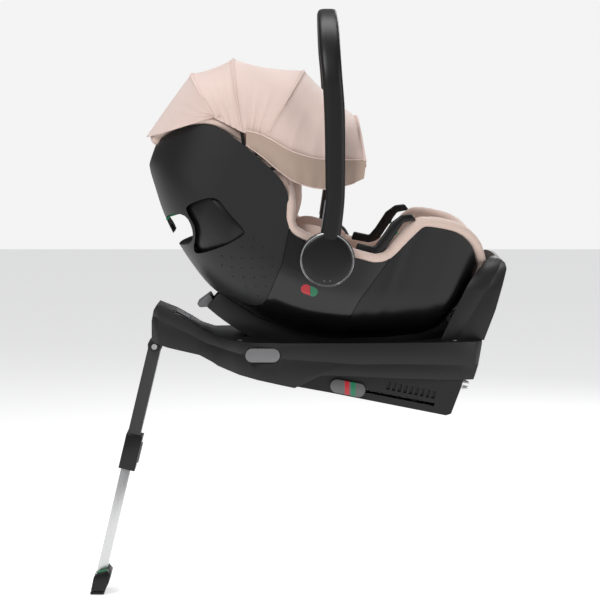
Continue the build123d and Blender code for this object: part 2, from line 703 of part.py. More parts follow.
def leg_button():
    return block(14.0, 19.0, -12, 12, -216, -180)


def leg_inner():
    tube = block(-8.5, 8.5, -22.5, 22.5, -440, -130) - block(-6.9, 6.9, -20.9, 20.9, -445, -120)
    for z in range(-300, -140, 20):
        tube = tube - (Pos(0, 0, z) * Rot(0, 90, 0) * Cylinder(3.5, 60) & block(0, 30, -10, 10, -400, 0))
    return tube


FOOT = [(-671, -337), (-676, -361), (-674, -363.6), (-652, -363.6), (-644, -348), (-640, -332), (-646, -325), (-664, -330)]


def foot_housing():
    return prism(FOOT, -36, 36) - LEG * block(-8.5, 8.5, -22.5, 22.5, -440, -300)


def foot_sole():
    return block(-677, -652, -38, 38, FLOOR_Z, -363.8)


def foot_indicator():
    return both_sides(prism([(-664.6, -329.7), (-646.2, -324.7), (-646.8, -322.7), (-665, -327.6)], 24.5, 34))


# ---- outputs: every node is one STEP file ----
def nodes():
    carrier = {
        "seat_shell": seat_shell, "back_panel": back_panel, "foot_panel": foot_panel, "scoop_panels": scoop_panels,
        "foam_liner": foam_liner, "seat_cover": seat_cover, "belt_guide_marks": belt_guide_marks,
        "belt_hooks": belt_hooks, "shell_badge": badge,
        "handle_pivots": handle_pivots, "harness_straps": harness_straps, "shoulder_pads": shoulder_pads,
        "buckle": buckle, "buckle_button": buckle_button, "crotch_pad": crotch_pad,
        "seat_insert": seat_insert, "headrest": headrest,
    }
    for name, make in carrier.items():
        yield name, CARRIER * make()
    yield "handle_inner", handle_inner()
    yield "handle_outer", handle_outer()
    yield "hub_covers", hub_covers()
    yield "handle_lever_left", handle_lever(1)
    yield "handle_lever_right", handle_lever(-1)
    yield "canopy_pivots", canopy_pivots()
    yield "canopy_bow_rear", rear_bow()
    yield "canopy_bow_middle", bow(BOW_MIDDLE, 166.4)
    yield "canopy_bow_forward", bow(BOW_FORWARD, 169.0)
    yield "canopy_bow_front", front_bow()
    yield "canopy_rear_panel", canopy_rear_panel()
    rear, middle, forward = (arch_face(angle, height, CANOPY_Y, foot)
                             for angle, height, foot in ((122, 194, REAR_FOOT), (98.4, 193, 66), (60, 197, 62)))
    yield "canopy_gore_rear", canopy_gore(rear, middle)
    yield "canopy_gore_middle", canopy_gore(middle, forward)
    yield "canopy_gore_front", canopy_gore(forward, leaning_arch(FRONT_TOP, FRONT_SIDE, 172.0, BOW_T + 0.6))
    yield "canopy_valance", canopy_valance()
    upper, lower = base_shells()
    yield "base_upper_shell", upper
    yield "base_lower_shell", lower
    yield "leg_hinge_pin", leg_hinge_pin()
    yield "status_window", status_window()
    yield "isofix_covers", isofix_covers()
    yield "grip_pads", grip_pads()
    yield "base_screws", base_screws()
    inner, rear = rebound_shells()
    yield "rebound_bar_inner", inner
    yield "rebound_bar_rear", rear
    arm = ARMS * isofix_arm()
    yield "isofix_arm_left", arm
    yield "isofix_arm_right", mirror(arm, about=Plane.XZ)
    yield "isofix_cross_tube", ARMS * cross_tube()
    yield "isofix_knobs", ARMS * isofix_knobs()
    yield "turntable", turntable()
    yield "turntable_nut", turntable_nut()
    yield "cradle", cradle()
    yield "cradle_release", cradle_release()
    yield "rear_latch", rear_latch()
    yield "swivel_button_left", swivel_button(1)
    yield "swivel_button_right", swivel_button(-1)
    yield "leg_outer_tube", LEG * leg_outer()
    yield "leg_collar", LEG * leg_collar()
    yield "leg_button", LEG * leg_button()
    yield "leg_inner_tube", LEG * leg_inner() - block(-700, -600, -60, 60, -400, -362)
    yield "foot_housing", foot_housing()
    yield "foot_sole", foot_sole()
    yield "foot_indicator", foot_indicator()


def base_shells():
    shell = base_shell()
    below = prism(SEAM, -REACH, REACH)
    return shell - below, (shell & below) + leg_yoke()


if __name__ == "__main__":
    os.makedirs("parts", exist_ok=True)
    for name, shape in nodes():
        export_step(Pos(-ANCHOR_X, 0, -ANCHOR_Z) * shape, f"parts/{name}.step")
        print(name, len(shape.solids()), round(shape.volume / 1000), flush=True)
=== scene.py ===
# %% [markdown]
# # An infant car seat on its turning base
# The solid model holds every size, joint and moving body. This lesson dresses it: smooth moulded skins,
# fabric that sags and creases, stitched seams, and plastics and metals with a real surface.
# Each step says what the piece is, how it could be made, and why this way was chosen.

# %% Load the fixed frame
import math

import bmesh
import bpy
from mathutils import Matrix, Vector


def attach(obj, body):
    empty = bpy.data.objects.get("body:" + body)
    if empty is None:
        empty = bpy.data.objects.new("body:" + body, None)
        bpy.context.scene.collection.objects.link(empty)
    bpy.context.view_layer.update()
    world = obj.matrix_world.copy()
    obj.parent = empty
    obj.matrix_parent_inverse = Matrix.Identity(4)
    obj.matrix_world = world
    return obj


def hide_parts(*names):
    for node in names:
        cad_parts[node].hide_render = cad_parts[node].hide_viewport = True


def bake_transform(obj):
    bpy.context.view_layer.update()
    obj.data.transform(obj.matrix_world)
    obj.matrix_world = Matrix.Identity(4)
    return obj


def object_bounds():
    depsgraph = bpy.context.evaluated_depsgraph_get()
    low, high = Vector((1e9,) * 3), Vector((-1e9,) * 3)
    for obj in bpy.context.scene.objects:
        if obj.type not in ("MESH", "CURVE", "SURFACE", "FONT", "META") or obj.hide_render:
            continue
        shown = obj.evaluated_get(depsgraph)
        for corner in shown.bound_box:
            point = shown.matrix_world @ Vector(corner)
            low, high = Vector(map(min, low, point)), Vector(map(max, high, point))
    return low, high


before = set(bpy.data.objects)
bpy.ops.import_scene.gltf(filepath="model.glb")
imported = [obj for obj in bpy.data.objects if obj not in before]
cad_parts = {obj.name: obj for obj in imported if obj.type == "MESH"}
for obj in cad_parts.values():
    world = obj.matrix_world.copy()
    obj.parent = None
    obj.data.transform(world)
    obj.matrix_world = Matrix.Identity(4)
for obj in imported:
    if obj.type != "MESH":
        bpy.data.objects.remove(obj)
cad_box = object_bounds()

# %% [markdown]
# ## Where things are
# All sizes below are in metres about a working datum. The row's origin lies midway between the two
# anchor bars, so a shift of (11, 0, -26) mm takes a working point into the row's frame. The carrier
# leans 20 degrees about the handle's hub, so its own shapes are drawn in a tilted frame (u, y, v).

# %% Frames of reference
MM = 0.001
SHIFT = Vector((11.0, 0.0, -26.0))
HUB = Vector((-252.0, 0.0, 250.0))
TILT = math.radians(20)


def place(x, y, z):
    """A working point in millimetres, in the row's frame in metres."""
    return (Vector((x, y, z)) + SHIFT) * MM


def carrier_point(u, y, v):
    """A point of the carrier's tilted frame, as a working point."""
    c, s = math.cos(TILT), math.sin(TILT)
    return Vector((HUB.x + u * c + v * s, y, HUB.z - u * s + v * c))


def carrier_place(u, y, v):
    """The same point in the row's frame in metres."""
    return place(*carrier_point(u, y, v))


def carrier_side(x, z):
    """A working side-view point in the carrier's tilted frame."""
    c, s = math.cos(TILT), math.sin(TILT)
    return (x - HUB.x) * c - (z - HUB.z) * s, (x - HUB.x) * s + (z - HUB.z) * c


def eased(p, q, r, s, t):
    """The Catmull-Rom value a share t of the way from q to r."""
    return q + 0.5 * t * (r - p + t * (2 * p - 5 * q + 4 * r - s + t * (3 * (q - r) + s - p)))


def smooth_rows(rows, per_gap):
    """Rows of numbers with more rows between them, on a Catmull-Rom curve."""
    out = []
    for i in range(len(rows) - 1):
        a, b, c, d = (rows[max(0, min(len(rows) - 1, i + k))] for k in (-1, 0, 1, 2))
        for step in range(per_gap):
            t = step / per_gap
            out.append(tuple(eased(*four, t) for four in zip(a, b, c, d)))
    return out + [tuple(rows[-1])]


# %% [markdown]
# ## Writing materials as sums
# A procedural material is mostly arithmetic. A small class wraps a node socket, so that an expression such as
# `1 - mask * 0.3` adds its own Math nodes, and one method makes any other node from its type and settings.

# %% A socket that can be added and multiplied
class Wave:
    def __init__(self, finish, socket):
        self.finish, self.socket = finish, socket

    def _math(self, operation, *values):
        return self.finish.node("ShaderNodeMath", *values, operation=operation)

    def __add__(self, other): return self._math("ADD", self, other)
    def __sub__(self, other): return self._math("SUBTRACT", self, other)
    def __mul__(self, other): return self._math("MULTIPLY", self, other)
    def __radd__(self, other): return self._math("ADD", other, self)
    def __rsub__(self, other): return self._math("SUBTRACT", other, self)
    def __rmul__(self, other): return self._math("MULTIPLY", other, self)
    def __lt__(self, other): return self._math("LESS_THAN", self, other)
    def __gt__(self, other): return self._math("GREATER_THAN", self, other)


class Finish:
    """One material, with a Principled surface and a method that adds any node."""

    def __init__(self, name, **surface):
        self.material = bpy.data.materials.new(name)
        self.material.use_nodes = True
        self.tree = self.material.node_tree
        self.surface = self.tree.nodes["Principled BSDF"]
        for key, value in surface.items():
            self.set(key.replace("_", " "), value)

    def set(self, name, value):
        found = self.surface.inputs[name]
        if isinstance(value, Wave):
            self.tree.links.new(value.socket, found)
        else:
            found.default_value = value

    def node(self, kind, *values, out=0, **settings):
        made = self.tree.nodes.new(kind)
        for key, value in settings.items():
            setattr(made, key, value)
        for found, value in zip([i for i in made.inputs if i.enabled], values):
            if isinstance(value, Wave):
                self.tree.links.new(value.socket, found)
            elif value is not None:
                found.default_value = value
        return Wave(self, made.outputs[out])

    def place(self):
        return self.node("ShaderNodeTexCoord", out=3)

    def axis(self, name):
        return self.node("ShaderNodeSeparateXYZ", self.place(), out="XYZ".index(name))

    def noise(self, scale, detail=2.0, roughness=0.5):
        return self.node("ShaderNodeTexNoise", self.place(), None, scale, detail, roughness)

    def mix(self, share, first, second):
        made = self.tree.nodes.new("ShaderNodeMix")
        made.data_type = "RGBA"
        for index, value in ((0, share), (6, first), (7, second)):
            if isinstance(value, Wave):
                self.tree.links.new(value.socket, made.inputs[index])
            else:
                made.inputs[index].default_value = value
        return Wave(self, made.outputs[2])

    def bump(self, height, strength=0.2, distance=0.001):
        made = self.tree.nodes.new("ShaderNodeBump")
        made.inputs["Strength"].default_value = strength
        made.inputs["Distance"].default_value = distance
        self.tree.links.new(height.socket, made.inputs["Height"])
        self.tree.links.new(made.outputs[0], self.surface.inputs["Normal"])


# %% [markdown]
# ## Moulded plastics
# Moulded parts aren't flat black. The tool leaves a fine spark-eroded grain, handling leaves faint
# smears that change the gloss, and dust pales the colour a little. Noise at two scales gives both:
# a fine one for the grain's bump, and a broad one that moves roughness and tone.

# %% Plastic finishes
def grey(value, tint=(1, 1, 1)):
    return (value * tint[0], value * tint[1], value * tint[2], 1)


def moulded(name, tone, rough, grain, grain_size=900, coat=0.0, tint=(1, 1, 1.02)):
    finish = Finish(name, Coat_Weight=coat, Coat_Roughness=0.10, Specular_IOR_Level=0.38)
    cloud = finish.noise(9, 3, 0.6)
    finish.set("Base Color", finish.mix(cloud, grey(tone * 0.85, tint), grey(tone * 1.2, tint)))
    finish.set("Roughness", rough + (cloud - 0.5) * 0.14 + (finish.noise(55, 4) - 0.5) * 0.06)
    if grain:
        finish.bump(finish.noise(grain_size, 2), grain, 0.0004)
    return finish.material


shell_gloss = moulded("shell_gloss_black", 0.004, 0.22, 0.015, 40, coat=0.25)
shell_matte = moulded("shell_grained_black", 0.010, 0.46, 0.22)
boot_satin = moulded("boot_satin_black", 0.004, 0.33, 0.10)
handle_satin = moulded("handle_satin_black", 0.005, 0.40, 0.14)
base_grained = moulded("base_grained_grey", 0.008, 0.45, 0.25, 760)
# A darker black for the head panel's dots: painted shade, standing in for the shade inside blind holes.
painted_shade_dots = moulded("painted_shade_dots", 0.006, 0.7, 0.05)
button_grey = moulded("button_grey", 0.17, 0.40, 0.12)
lever_grey = moulded("lever_grey", 0.16, 0.36, 0.08)
window_dark = moulded("status_window_dark", 0.004, 0.08, 0.0, coat=0.8)
red_plastic = moulded("release_red", 0.42, 0.32, 0.04, tint=(1, 0.03, 0.03))
green_plastic = moulded("guide_green", 0.16, 0.34, 0.05, tint=(0.03, 1, 0.42))
sole_rubber = moulded("sole_rubber", 0.018, 0.80, 0.30, 420)


def banded(name, base, marks, rough=0.36):
    """A plain plastic with coloured marks between two places along X."""
    finish = Finish(name, Coat_Weight=0.2)
    cloud, x = finish.noise(30, 2), finish.axis("X")
    tone = finish.mix(cloud, grey(base * 0.85), grey(base * 1.15))
    for start, stop, colour in marks:
        tone = finish.mix((x > start) * (x < stop), tone, colour)
    finish.set("Base Color", tone)
    finish.set("Roughness", rough + (cloud - 0.5) * 0.12)
    finish.bump(finish.noise(800, 2), 0.06, 0.0003)
    return finish.material


RED, GREEN = (0.42, 0.012, 0.02, 1), (0.006, 0.16, 0.07, 1)
badge_pill = banded("badge_two_tone", 0.02, [(-1.0, -0.2705, RED), (-0.2695, 1.0, GREEN)])
slider_grey = banded("slider_grey", 0.10, [(-0.210, -0.202, RED), (-0.199, -0.191, GREEN)])
print("plastics ready")


# %% [markdown]
# ## Metals
# The lower leg tube is anodised aluminium: bright, finely drawn lengthwise. Stretching a noise along the
# tube and squeezing it across gives drawn lines. The same recipe, darker, makes the painted upper tube.

# %% Metal finishes
def drawn_metal(name, tone, rough, metallic=1.0, stretch=(500, 500, 12), tilt=13.5):
    finish = Finish(name, Metallic=metallic)
    turned = finish.node("ShaderNodeMapping", finish.place(), (0, 0, 0), (0, math.radians(-tilt), 0), stretch)
    lines = finish.node("ShaderNodeTexNoise", turned, None, 1.0, 3, 0.6)
    finish.set("Base Color", finish.mix(lines, grey(tone * 0.82), grey(tone * 1.12)))
    finish.set("Roughness", rough + (lines - 0.5) * 0.12 + (finish.noise(14, 3) - 0.5) * 0.1)
    finish.bump(lines, 0.05, 0.0002)
    return finish.material


leg_silver = drawn_metal("leg_anodised_silver", 0.66, 0.30)
leg_painted = drawn_metal("leg_painted_dark", 0.030, 0.42, metallic=0.25)
steel = drawn_metal("plain_steel", 0.50, 0.32, stretch=(300, 300, 300))
chrome = drawn_metal("chrome_trim", 0.42, 0.18, stretch=(80, 80, 80))
print("metals ready")

# %% [markdown]
# ## Cloth
# The canopy is a fine plain weave in pale pink, slightly sheeny; the seat liner is a softer knit.
# Two crossed waves on the piece's own place make warp and weft. A middling noise gives the slubs, and a
# broad one gives the gentle unevenness of dyed cloth.

# %% Cloth finishes
def woven(name, light, dark, pitch=0.0011, strength=0.35, sheen=0.35, rough=0.82):
    finish = Finish(name, Sheen_Weight=sheen, Sheen_Roughness=0.5, Specular_IOR_Level=0.25)
    turns = 2 * math.pi / pitch

    def thread(axis, other):
        return finish.node("ShaderNodeMath", finish.axis(axis) * turns + finish.axis(other) * turns * 0.35,
                           operation="SINE")
    weft, warp = thread("X", "Z"), thread("Z", "Y")
    weave = weft * warp * 0.5 + 0.5
    slub = finish.noise(160, 3, 0.6)
    broad = finish.noise(7, 3)
    tone = finish.mix(weave * 0.35 + slub * 0.35 + broad * 0.3, dark, light)
    finish.set("Base Color", tone)
    finish.set("Roughness", rough + (broad - 0.5) * 0.12)
    finish.bump(weave + slub * 0.8, strength, 0.0005)
    return finish.material


canopy_cloth = woven("canopy_pink_weave", (0.82, 0.655, 0.59, 1), (0.70, 0.53, 0.465, 1))
valance_cloth = woven("canopy_valance_weave", (0.50, 0.38, 0.31, 1), (0.40, 0.295, 0.235, 1), pitch=0.0014)
liner_cloth = woven("liner_soft_knit", (0.74, 0.58, 0.51, 1), (0.60, 0.45, 0.38, 1), pitch=0.0018,
                    strength=0.45)
thread_cloth = woven("seam_thread", (0.80, 0.66, 0.60, 1), (0.62, 0.48, 0.42, 1), pitch=0.0009)
strap_cloth = woven("harness_webbing", (0.035, 0.035, 0.037, 1), (0.012, 0.012, 0.013, 1), pitch=0.0020,
                    strength=0.6)
foam_grey = moulded("moulded_foam", 0.05, 0.9, 0.5, 300)
print("cloths ready")

# %% [markdown]
# ## Turning numbers into pieces
# A few helpers make a mesh object, shade it smooth with crisp creases, and hand it to a body of the model.
# A solid node with straight edges looks like cut foam, so `softened` copies one, merges its loose
# triangles, joins the flat ones, and bevels the sharp edges: moulded parts have a radius on every edge.

# %% Mesh helpers
CREASE = math.radians(35)


def mesh_of(name, corners, faces=()):
    mesh = bpy.data.meshes.new(name)
    mesh.from_pydata([tuple(c) for c in corners], [], faces)
    return mesh


def added(name, mesh):
    """An object with this mesh, linked to the scene."""
    piece = bpy.data.objects.new(name, mesh)
    bpy.context.scene.collection.objects.link(piece)
    return piece


def painted(piece, material):
    piece.data.materials.clear()
    piece.data.materials.append(material)
    return piece


def signed_power(value, power):
    """A power that keeps the sign, which squares off a circle's sine and cosine."""
    return math.copysign(abs(value) ** power, value)


def new_piece(name, corners, faces, material, body, *nodes, slot=None):
    piece = added(name, mesh_of(name, corners, faces))
    piece.data.update()
    piece.data.materials.append(material)
    finish_mesh(piece)
    return hand_over(piece, body, *nodes, slot=slot)


def finish_mesh(piece):
    shape = bmesh.new()
    shape.from_mesh(piece.data)
    bmesh.ops.remove_doubles(shape, verts=shape.verts, dist=1e-6)
    bmesh.ops.recalc_face_normals(shape, faces=shape.faces)
    shape.to_mesh(piece.data)
    shape.free()
    piece.data.shade_smooth()
    piece.data.set_sharp_from_angle(angle=CREASE)


def hand_over(piece, body, *nodes, slot=None):
    if body:
        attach(piece, body)
    if nodes:
        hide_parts(*nodes)
    return piece


def apply_modifiers(piece):
    """Bake every modifier into the mesh, and take them off."""
    seen = bpy.context.evaluated_depsgraph_get()
    mesh = bpy.data.meshes.new_from_object(piece.evaluated_get(seen))
    piece.modifiers.clear()
    piece.data = mesh
    piece.data.shade_smooth()
    piece.data.set_sharp_from_angle(angle=CREASE)
    return piece


def copy_of(node, name):
    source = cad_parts[node]
    source = source if isinstance(source, bpy.types.Object) else bpy.data.objects[source]
    piece = added(name, source.data.copy())
    shape = bmesh.new()
    shape.from_mesh(piece.data)
    bmesh.ops.remove_doubles(shape, verts=shape.verts, dist=2e-6)
    bmesh.ops.dissolve_limit(shape, angle_limit=math.radians(0.6), verts=shape.verts, edges=shape.edges)
    shape.to_mesh(piece.data)
    shape.free()
    return piece


def softened(node, body, material, radius):
    piece = copy_of(node, node + "_moulded")
    bevel = piece.modifiers.new("edge radius", "BEVEL")
    bevel.width, bevel.segments, bevel.limit_method = radius, 2, "ANGLE"
    bevel.angle_limit, bevel.use_clamp_overlap, bevel.miter_outer = math.radians(28), True, "MITER_ARC"
    bevel.harden_normals = False
    apply_modifiers(piece)
    return hand_over(painted(piece, material), body, node)


def prism_cutter(points, y0, y1, to_place):
    """A side-view outline carried across, as a cutter for booleans."""
    n = len(points)
    corners = [to_place(u, y, v) for y in (y0, y1) for u, v in points]
    faces = [tuple(range(n)), tuple(range(2 * n - 1, n - 1, -1))]
    faces += [(i, n + i, n + (i + 1) % n, (i + 1) % n) for i in range(n)]
    mesh = mesh_of("cutter", corners, faces)
    shape = bmesh.new()
    shape.from_mesh(mesh)
    bmesh.ops.recalc_face_normals(shape, faces=shape.faces)
    shape.to_mesh(mesh)
    shape.free()
    return added("cutter", mesh)


def cut(piece, cutter, operation="DIFFERENCE"):
    step = piece.modifiers.new("cut", "BOOLEAN")
    step.operation, step.object, step.solver = operation, cutter, "EXACT"
    apply_modifiers(piece)
    bpy.data.objects.remove(cutter)
    return piece


def grid_faces(rows, across, closed=False):
    """Quads over a grid of rows, closed round each row if asked."""
    last = across if closed else across - 1
    return [(a + i, a + (i + 1) % across, a + across + (i + 1) % across, a + across + i)
            for a in range(0, (rows - 1) * across, across) for i in range(last)]


# %% [markdown]
# ## The carrier's hull
# The shell is a boat-like form: each station along it is a U with a width, a keel and a rim. A table of
# stations holds the design; Catmull-Rom rows between them make the moulded curve flow. The three skins
# (head panel, glossy middle, boot) are the same surface, cut by the side-view lines of their seams, so they
# always line up. A Boolean with a small gap gives the dark parting line that real panels show.

# %% Hull stations and the smooth U
STATIONS = [(-349, 78, 37, 30, 80), (-341, 100, 24, 50, 96), (-325, 125, 3, 75, 116),
            (-300, 148, -29, 95, 134), (-268, 163, -62, 112, 147), (-225, 173, -96, 122, 142),
            (-175, 178, -127, 125, 125), (-125, 182, -141, 122, 103), (-104, 184, -145, 121, 84),
            (-91, 185, -148, 120, 60), (-80, 186, -150, 119, 30), (-60, 187, -152, 118, 17),
            (0, 189, -151, 112, 15), (60, 185, -140, 108, 18), (82, 182, -133, 107, 22),
            (98, 178, -126, 106, 36), (108, 176, -122, 105, 58), (119, 174, -118, 105, 84),
            (131, 170, -113, 104, 104), (150, 165, -106, 103, 112), (180, 155, -92, 100, 117),
            (205, 146, -81, 98, 116), (230, 131, -60, 90, 105), (246, 113, -22, 75, 88),
            (256, 96, 15, 45, 72), (263, 80, 38, 18, 60)]
FINE_STATIONS = smooth_rows(STATIONS, 4)
SQUARENESS = 2.5
ROUND = 2 / SQUARENESS
U_TURNS = 56
SHELL_WALL = 4


def station_at(u):
    rows = FINE_STATIONS
    u = max(rows[0][0], min(rows[-1][0], u))
    for a, b in zip(rows, rows[1:]):
        if a[0] <= u <= b[0]:
            t = (u - a[0]) / max(b[0] - a[0], 1e-9)
            return tuple(p + (q - p) * t for p, q in zip(a, b))
    return rows[-1]


def hull_ring(station, side, floor, lift):
    """The U of one station, moved in by side and floor, from one rim to the other."""
    u, width, keel, depth, rim = station
    width, keel, shoulder = width - side, keel + floor, min(keel + depth, rim - 2)
    shoulder = max(shoulder, keel + 4)
    ring = [(u, width, rim + lift)]
    for i in range(U_TURNS + 1):
        angle = math.pi * i / U_TURNS
        across = signed_power(math.cos(angle), ROUND)
        ring.append((u, width * across, shoulder - (shoulder - keel) * abs(math.sin(angle)) ** ROUND))
    return ring + [(u, -width, rim + lift)]


def hull_body(name, outer, inner, lift=0.0):
    """A closed layer of the hull between two insets; solid plates close its two ends."""
    stations = [s for s in FINE_STATIONS if s[2] + inner[1] < s[4] - 8]
    rows = [hull_ring(s, *outer, lift) + hull_ring(s, *inner, lift)[::-1] for s in stations]
    corners = [carrier_place(*p) for row in rows for p in row]
    across = len(rows[0])
    faces = grid_faces(len(rows), across, closed=True)
    for end in (0, (len(rows) - 1) * across):
        faces += [(end + i, end + i + 1, end + across - 2 - i, end + across - 1 - i)
                  for i in range(across // 2 - 1)]
    piece = added(name, mesh_of(name, corners, faces))
    finish_mesh(piece)
    return piece, stations


skin, used_stations = hull_body("skin", (0, 0), (SHELL_WALL, SHELL_WALL))
print("hull from", used_stations[0][0], "to", used_stations[-1][0], "in", len(skin.data.vertices), "points")

# %% [markdown]
# ## Cutting the three skins
# The back panel keeps what lies in the head-end outline, the boot what lies in the foot-end outline, and the
# middle is the rest. The belt slot and the sunk scoops beside it are cut through with outlines as well.

# %% Seam outlines in the carrier's frame
BACK_EDGE = [(-98, 210), (-101, 83), (-88.5, 59), (-80, 29), (-75, -3), (-70, -36), (-72, -72), (-73, -101),
             (-77, -116), (-88, -124), (-106, -127), (-130, -124), (-158, -134), (-180, -180), (-420, -180),
             (-420, 210)]
FOOT_EDGE = [(73, -180), (76, -110), (74, -75), (79, -45), (88, -16), (97, 15), (107, 50), (120, 83),
             (129, 104), (133, 200), (330, 200), (330, -180)]
BELT_SLOT = [(-527, 296), (-537, 313), (-529, 322), (-511, 326), (-496, 321), (-487, 303), (-485, 285),
             (-491, 272), (-502, 269), (-530, 262), (-545, 274), (-522, 284)]
SCOOP = [(-499, 340), (-464, 354), (-448, 355), (-438, 350), (-420, 326), (-397, 302), (-394, 293),
         (-403, 286), (-427, 272), (-464, 258), (-480, 254), (-486, 262), (-481, 285), (-482, 304),
         (-494, 325)]
PARTING_GAP = 0.5


def rounded_outline(points, rounds=2):
    """An outline with its corners cut away, once for each round, into a smooth moulded line."""
    for _ in range(rounds):
        kept = []
        for (x, z), (nx, nz) in zip(points, points[1:] + points[:1]):
            kept += [(x * 0.75 + nx * 0.25, z * 0.75 + nz * 0.25),
                     (x * 0.25 + nx * 0.75, z * 0.25 + nz * 0.75)]
        points = kept
    return points


def moved(points, du):
    return [(u + du, v) for u, v in points]


belt_slot = rounded_outline([carrier_side(x, z) for x, z in BELT_SLOT], 1)
scoop = rounded_outline([carrier_side(x, z) for x, z in SCOOP])
PAST_BOTH_SIDES = 350.0


def across_hull(outline):
    """A cutter with this side view that runs right through the carrier."""
    return prism_cutter(outline, -PAST_BOTH_SIDES, PAST_BOTH_SIDES, carrier_place)


def skin_part(name, outlines, operation, material, node):
    piece = added(name, skin.data.copy())
    for outline in outlines:
        cut(piece, across_hull(outline), operation)
    return hand_over(painted(piece, material), "carrier", node)


cut(skin, across_hull(belt_slot))
middle_skin = skin_part("shell_middle_gloss", [moved(BACK_EDGE, PARTING_GAP), moved(FOOT_EDGE, -PARTING_GAP)],
                        "DIFFERENCE", shell_gloss, "seat_shell")
head_skin = skin_part("shell_head_panel", [moved(BACK_EDGE, -PARTING_GAP)], "INTERSECT", shell_matte,
                      "back_panel")
boot_skin = skin_part("shell_boot", [moved(FOOT_EDGE, PARTING_GAP)], "INTERSECT", boot_satin, "foot_panel")
for low, high in ((110, 230), (-230, -110)):
    cut(head_skin, prism_cutter(scoop, low, high, carrier_place))
bpy.data.objects.remove(skin)
print("skins:", [(p.name, len(p.data.polygons)) for p in (middle_skin, head_skin, boot_skin)])

# %% [markdown]
# ## Perforations in the head panel
# The panel has a field of small blind dots, in rows that thin out towards a point. Repeats are Geometry Nodes
# work: the tree gets a cloud of points that carry their normals, puts a thin disc on each, turns it to its
# normal, and ends in Realize Instances and Set Material, so that the result is a plain mesh. The discs are
# not
# holes: they are darker than the panel, which is painted shade in place of the shade inside each blind hole.

# %% A tree that puts one small shape on every point
STITCH_SIZE = (0.0026, 0.0007, 0.0006)


def vector_of(tree, label):
    """The vector that each point carries under this name."""
    found = tree.nodes.new("GeometryNodeInputNamedAttribute")
    found.data_type = "FLOAT_VECTOR"
    found.inputs["Name"].default_value = label
    return found


def scatter_tree(name, shape_node, sizes, material):
    tree = bpy.data.node_groups.new(name, "GeometryNodeTree")
    tree.interface.new_socket("Points", in_out="INPUT", socket_type="NodeSocketGeometry")
    for label, value in sizes.items():
        made = tree.interface.new_socket(label, in_out="INPUT", socket_type="NodeSocketFloat")
        made.default_value = value
    tree.interface.new_socket("Shape", in_out="OUTPUT", socket_type="NodeSocketGeometry")
    entry, leave = tree.nodes.new("NodeGroupInput"), tree.nodes.new("NodeGroupOutput")
    shape = tree.nodes.new(shape_node)
    to_points = tree.nodes.new("GeometryNodeMeshToPoints")
    normal, along = vector_of(tree, "out"), vector_of(tree, "along")
    turn = tree.nodes.new("FunctionNodeAlignRotationToVector")
    turn.axis = "Z"
    second = tree.nodes.new("FunctionNodeAlignRotationToVector")
    second.axis, second.pivot_axis = "X", "Z"
    copies = tree.nodes.new("GeometryNodeInstanceOnPoints")
    real = tree.nodes.new("GeometryNodeRealizeInstances")
    paint = tree.nodes.new("GeometryNodeSetMaterial")
    paint.inputs["Material"].default_value = material
    smooth = tree.nodes.new("GeometryNodeSetShadeSmooth")
    link = tree.links.new
    link(entry.outputs["Points"], to_points.inputs[0])
    link(to_points.outputs[0], copies.inputs["Points"])
    link(normal.outputs[0], turn.inputs["Vector"])
    link(turn.outputs[0], second.inputs["Rotation"])
    link(along.outputs[0], second.inputs["Vector"])
    link(second.outputs[0], copies.inputs["Rotation"])
    link(shape.outputs[0], copies.inputs["Instance"])
    link(copies.outputs[0], real.inputs[0])
    link(real.outputs[0], smooth.inputs[0])
    link(smooth.outputs[0], paint.inputs[0])
    link(paint.outputs[0], leave.inputs[0])
    for label in sizes:
        link(entry.outputs[label], shape.inputs[label])
    if shape_node == "GeometryNodeMeshCube":
        shape.inputs["Size"].default_value = STITCH_SIZE
    else:
        shape.inputs["Vertices"].default_value = 12
    return tree


def scatter(name, tree, points, normals, along, body, slot_name=None):
    mesh = mesh_of(name, points)
    for label, values in (("out", normals), ("along", along)):
        kept = mesh.attributes.new(label, "FLOAT_VECTOR", "POINT")
        kept.data.foreach_set("vector", [c for v in values for c in v])
    piece = added(name, mesh)
    step = piece.modifiers.new("scatter", "NODES")
    step.node_group = tree
    apply_modifiers(piece)
    print(name, "made", len(piece.data.polygons), "faces from", len(points), "points")
    return hand_over(piece, body, slot=slot_name)


def hull_point(x, z, side, lift=0.0):
    """Where a side-view point lies on the hull's skin, and the outward normal there."""
    u, v = carrier_side(x, z)

    def across(u, v):
        _, width, keel, depth, rim = station_at(u)
        shoulder = keel + depth
        share = max(0.0, min(1.0, (shoulder - v) / depth)) if v < shoulder else 0.0
        return width * max(0.0, 1 - share ** SQUARENESS) ** (1 / SQUARENESS)

    y = across(u, v)
    du = (across(u + 1, v) - across(u - 1, v)) / 2
    dv = (across(u, v + 1) - across(u, v - 1)) / 2
    normal = Vector((-du, 1.0, -dv)).normalized()
    c, s = math.cos(TILT), math.sin(TILT)
    turned = Vector((normal.x * c + normal.z * s, side * normal.y, -normal.x * s + normal.z * c))
    return carrier_place(u, side * y, v) + turned * lift * MM, turned


# %% Rows of dots
# Each row has its two ends along the side, its height, and how many dots it holds.
DOT_ROWS = [(-435, -347, 251.5, 6), (-399, -363, 270.5, 3), (-379, -379, 286, 1), (-435, -347, 234.5, 6),
            (-415, -361, 217.5, 4), (-394, -358, 201, 3), (-372, -372, 184, 1)]
spots, outs = [], []
for side in (-1, 1):
    for x0, x1, z, count in DOT_ROWS:
        for i in range(count):
            x = x0 + (x1 - x0) * (i / max(count - 1, 1))
            drop = 3.2 * ((x + 391) / 44) ** 2
            at, out = hull_point(x, z + drop - 1.5, side, lift=0.1)
            spots.append(at)
            outs.append(out)
UP = Vector((0, 0, 1))
# Each dot is a thin disc in the darker material: painted shade where the real panel has a small hole.
dot_tree = scatter_tree("blind dots", "GeometryNodeMeshCylinder", {"Radius": 0.0017, "Depth": 0.0005},
                        painted_shade_dots)
scatter("head_panel_dots", dot_tree, spots, outs, [UP] * len(spots), "carrier")

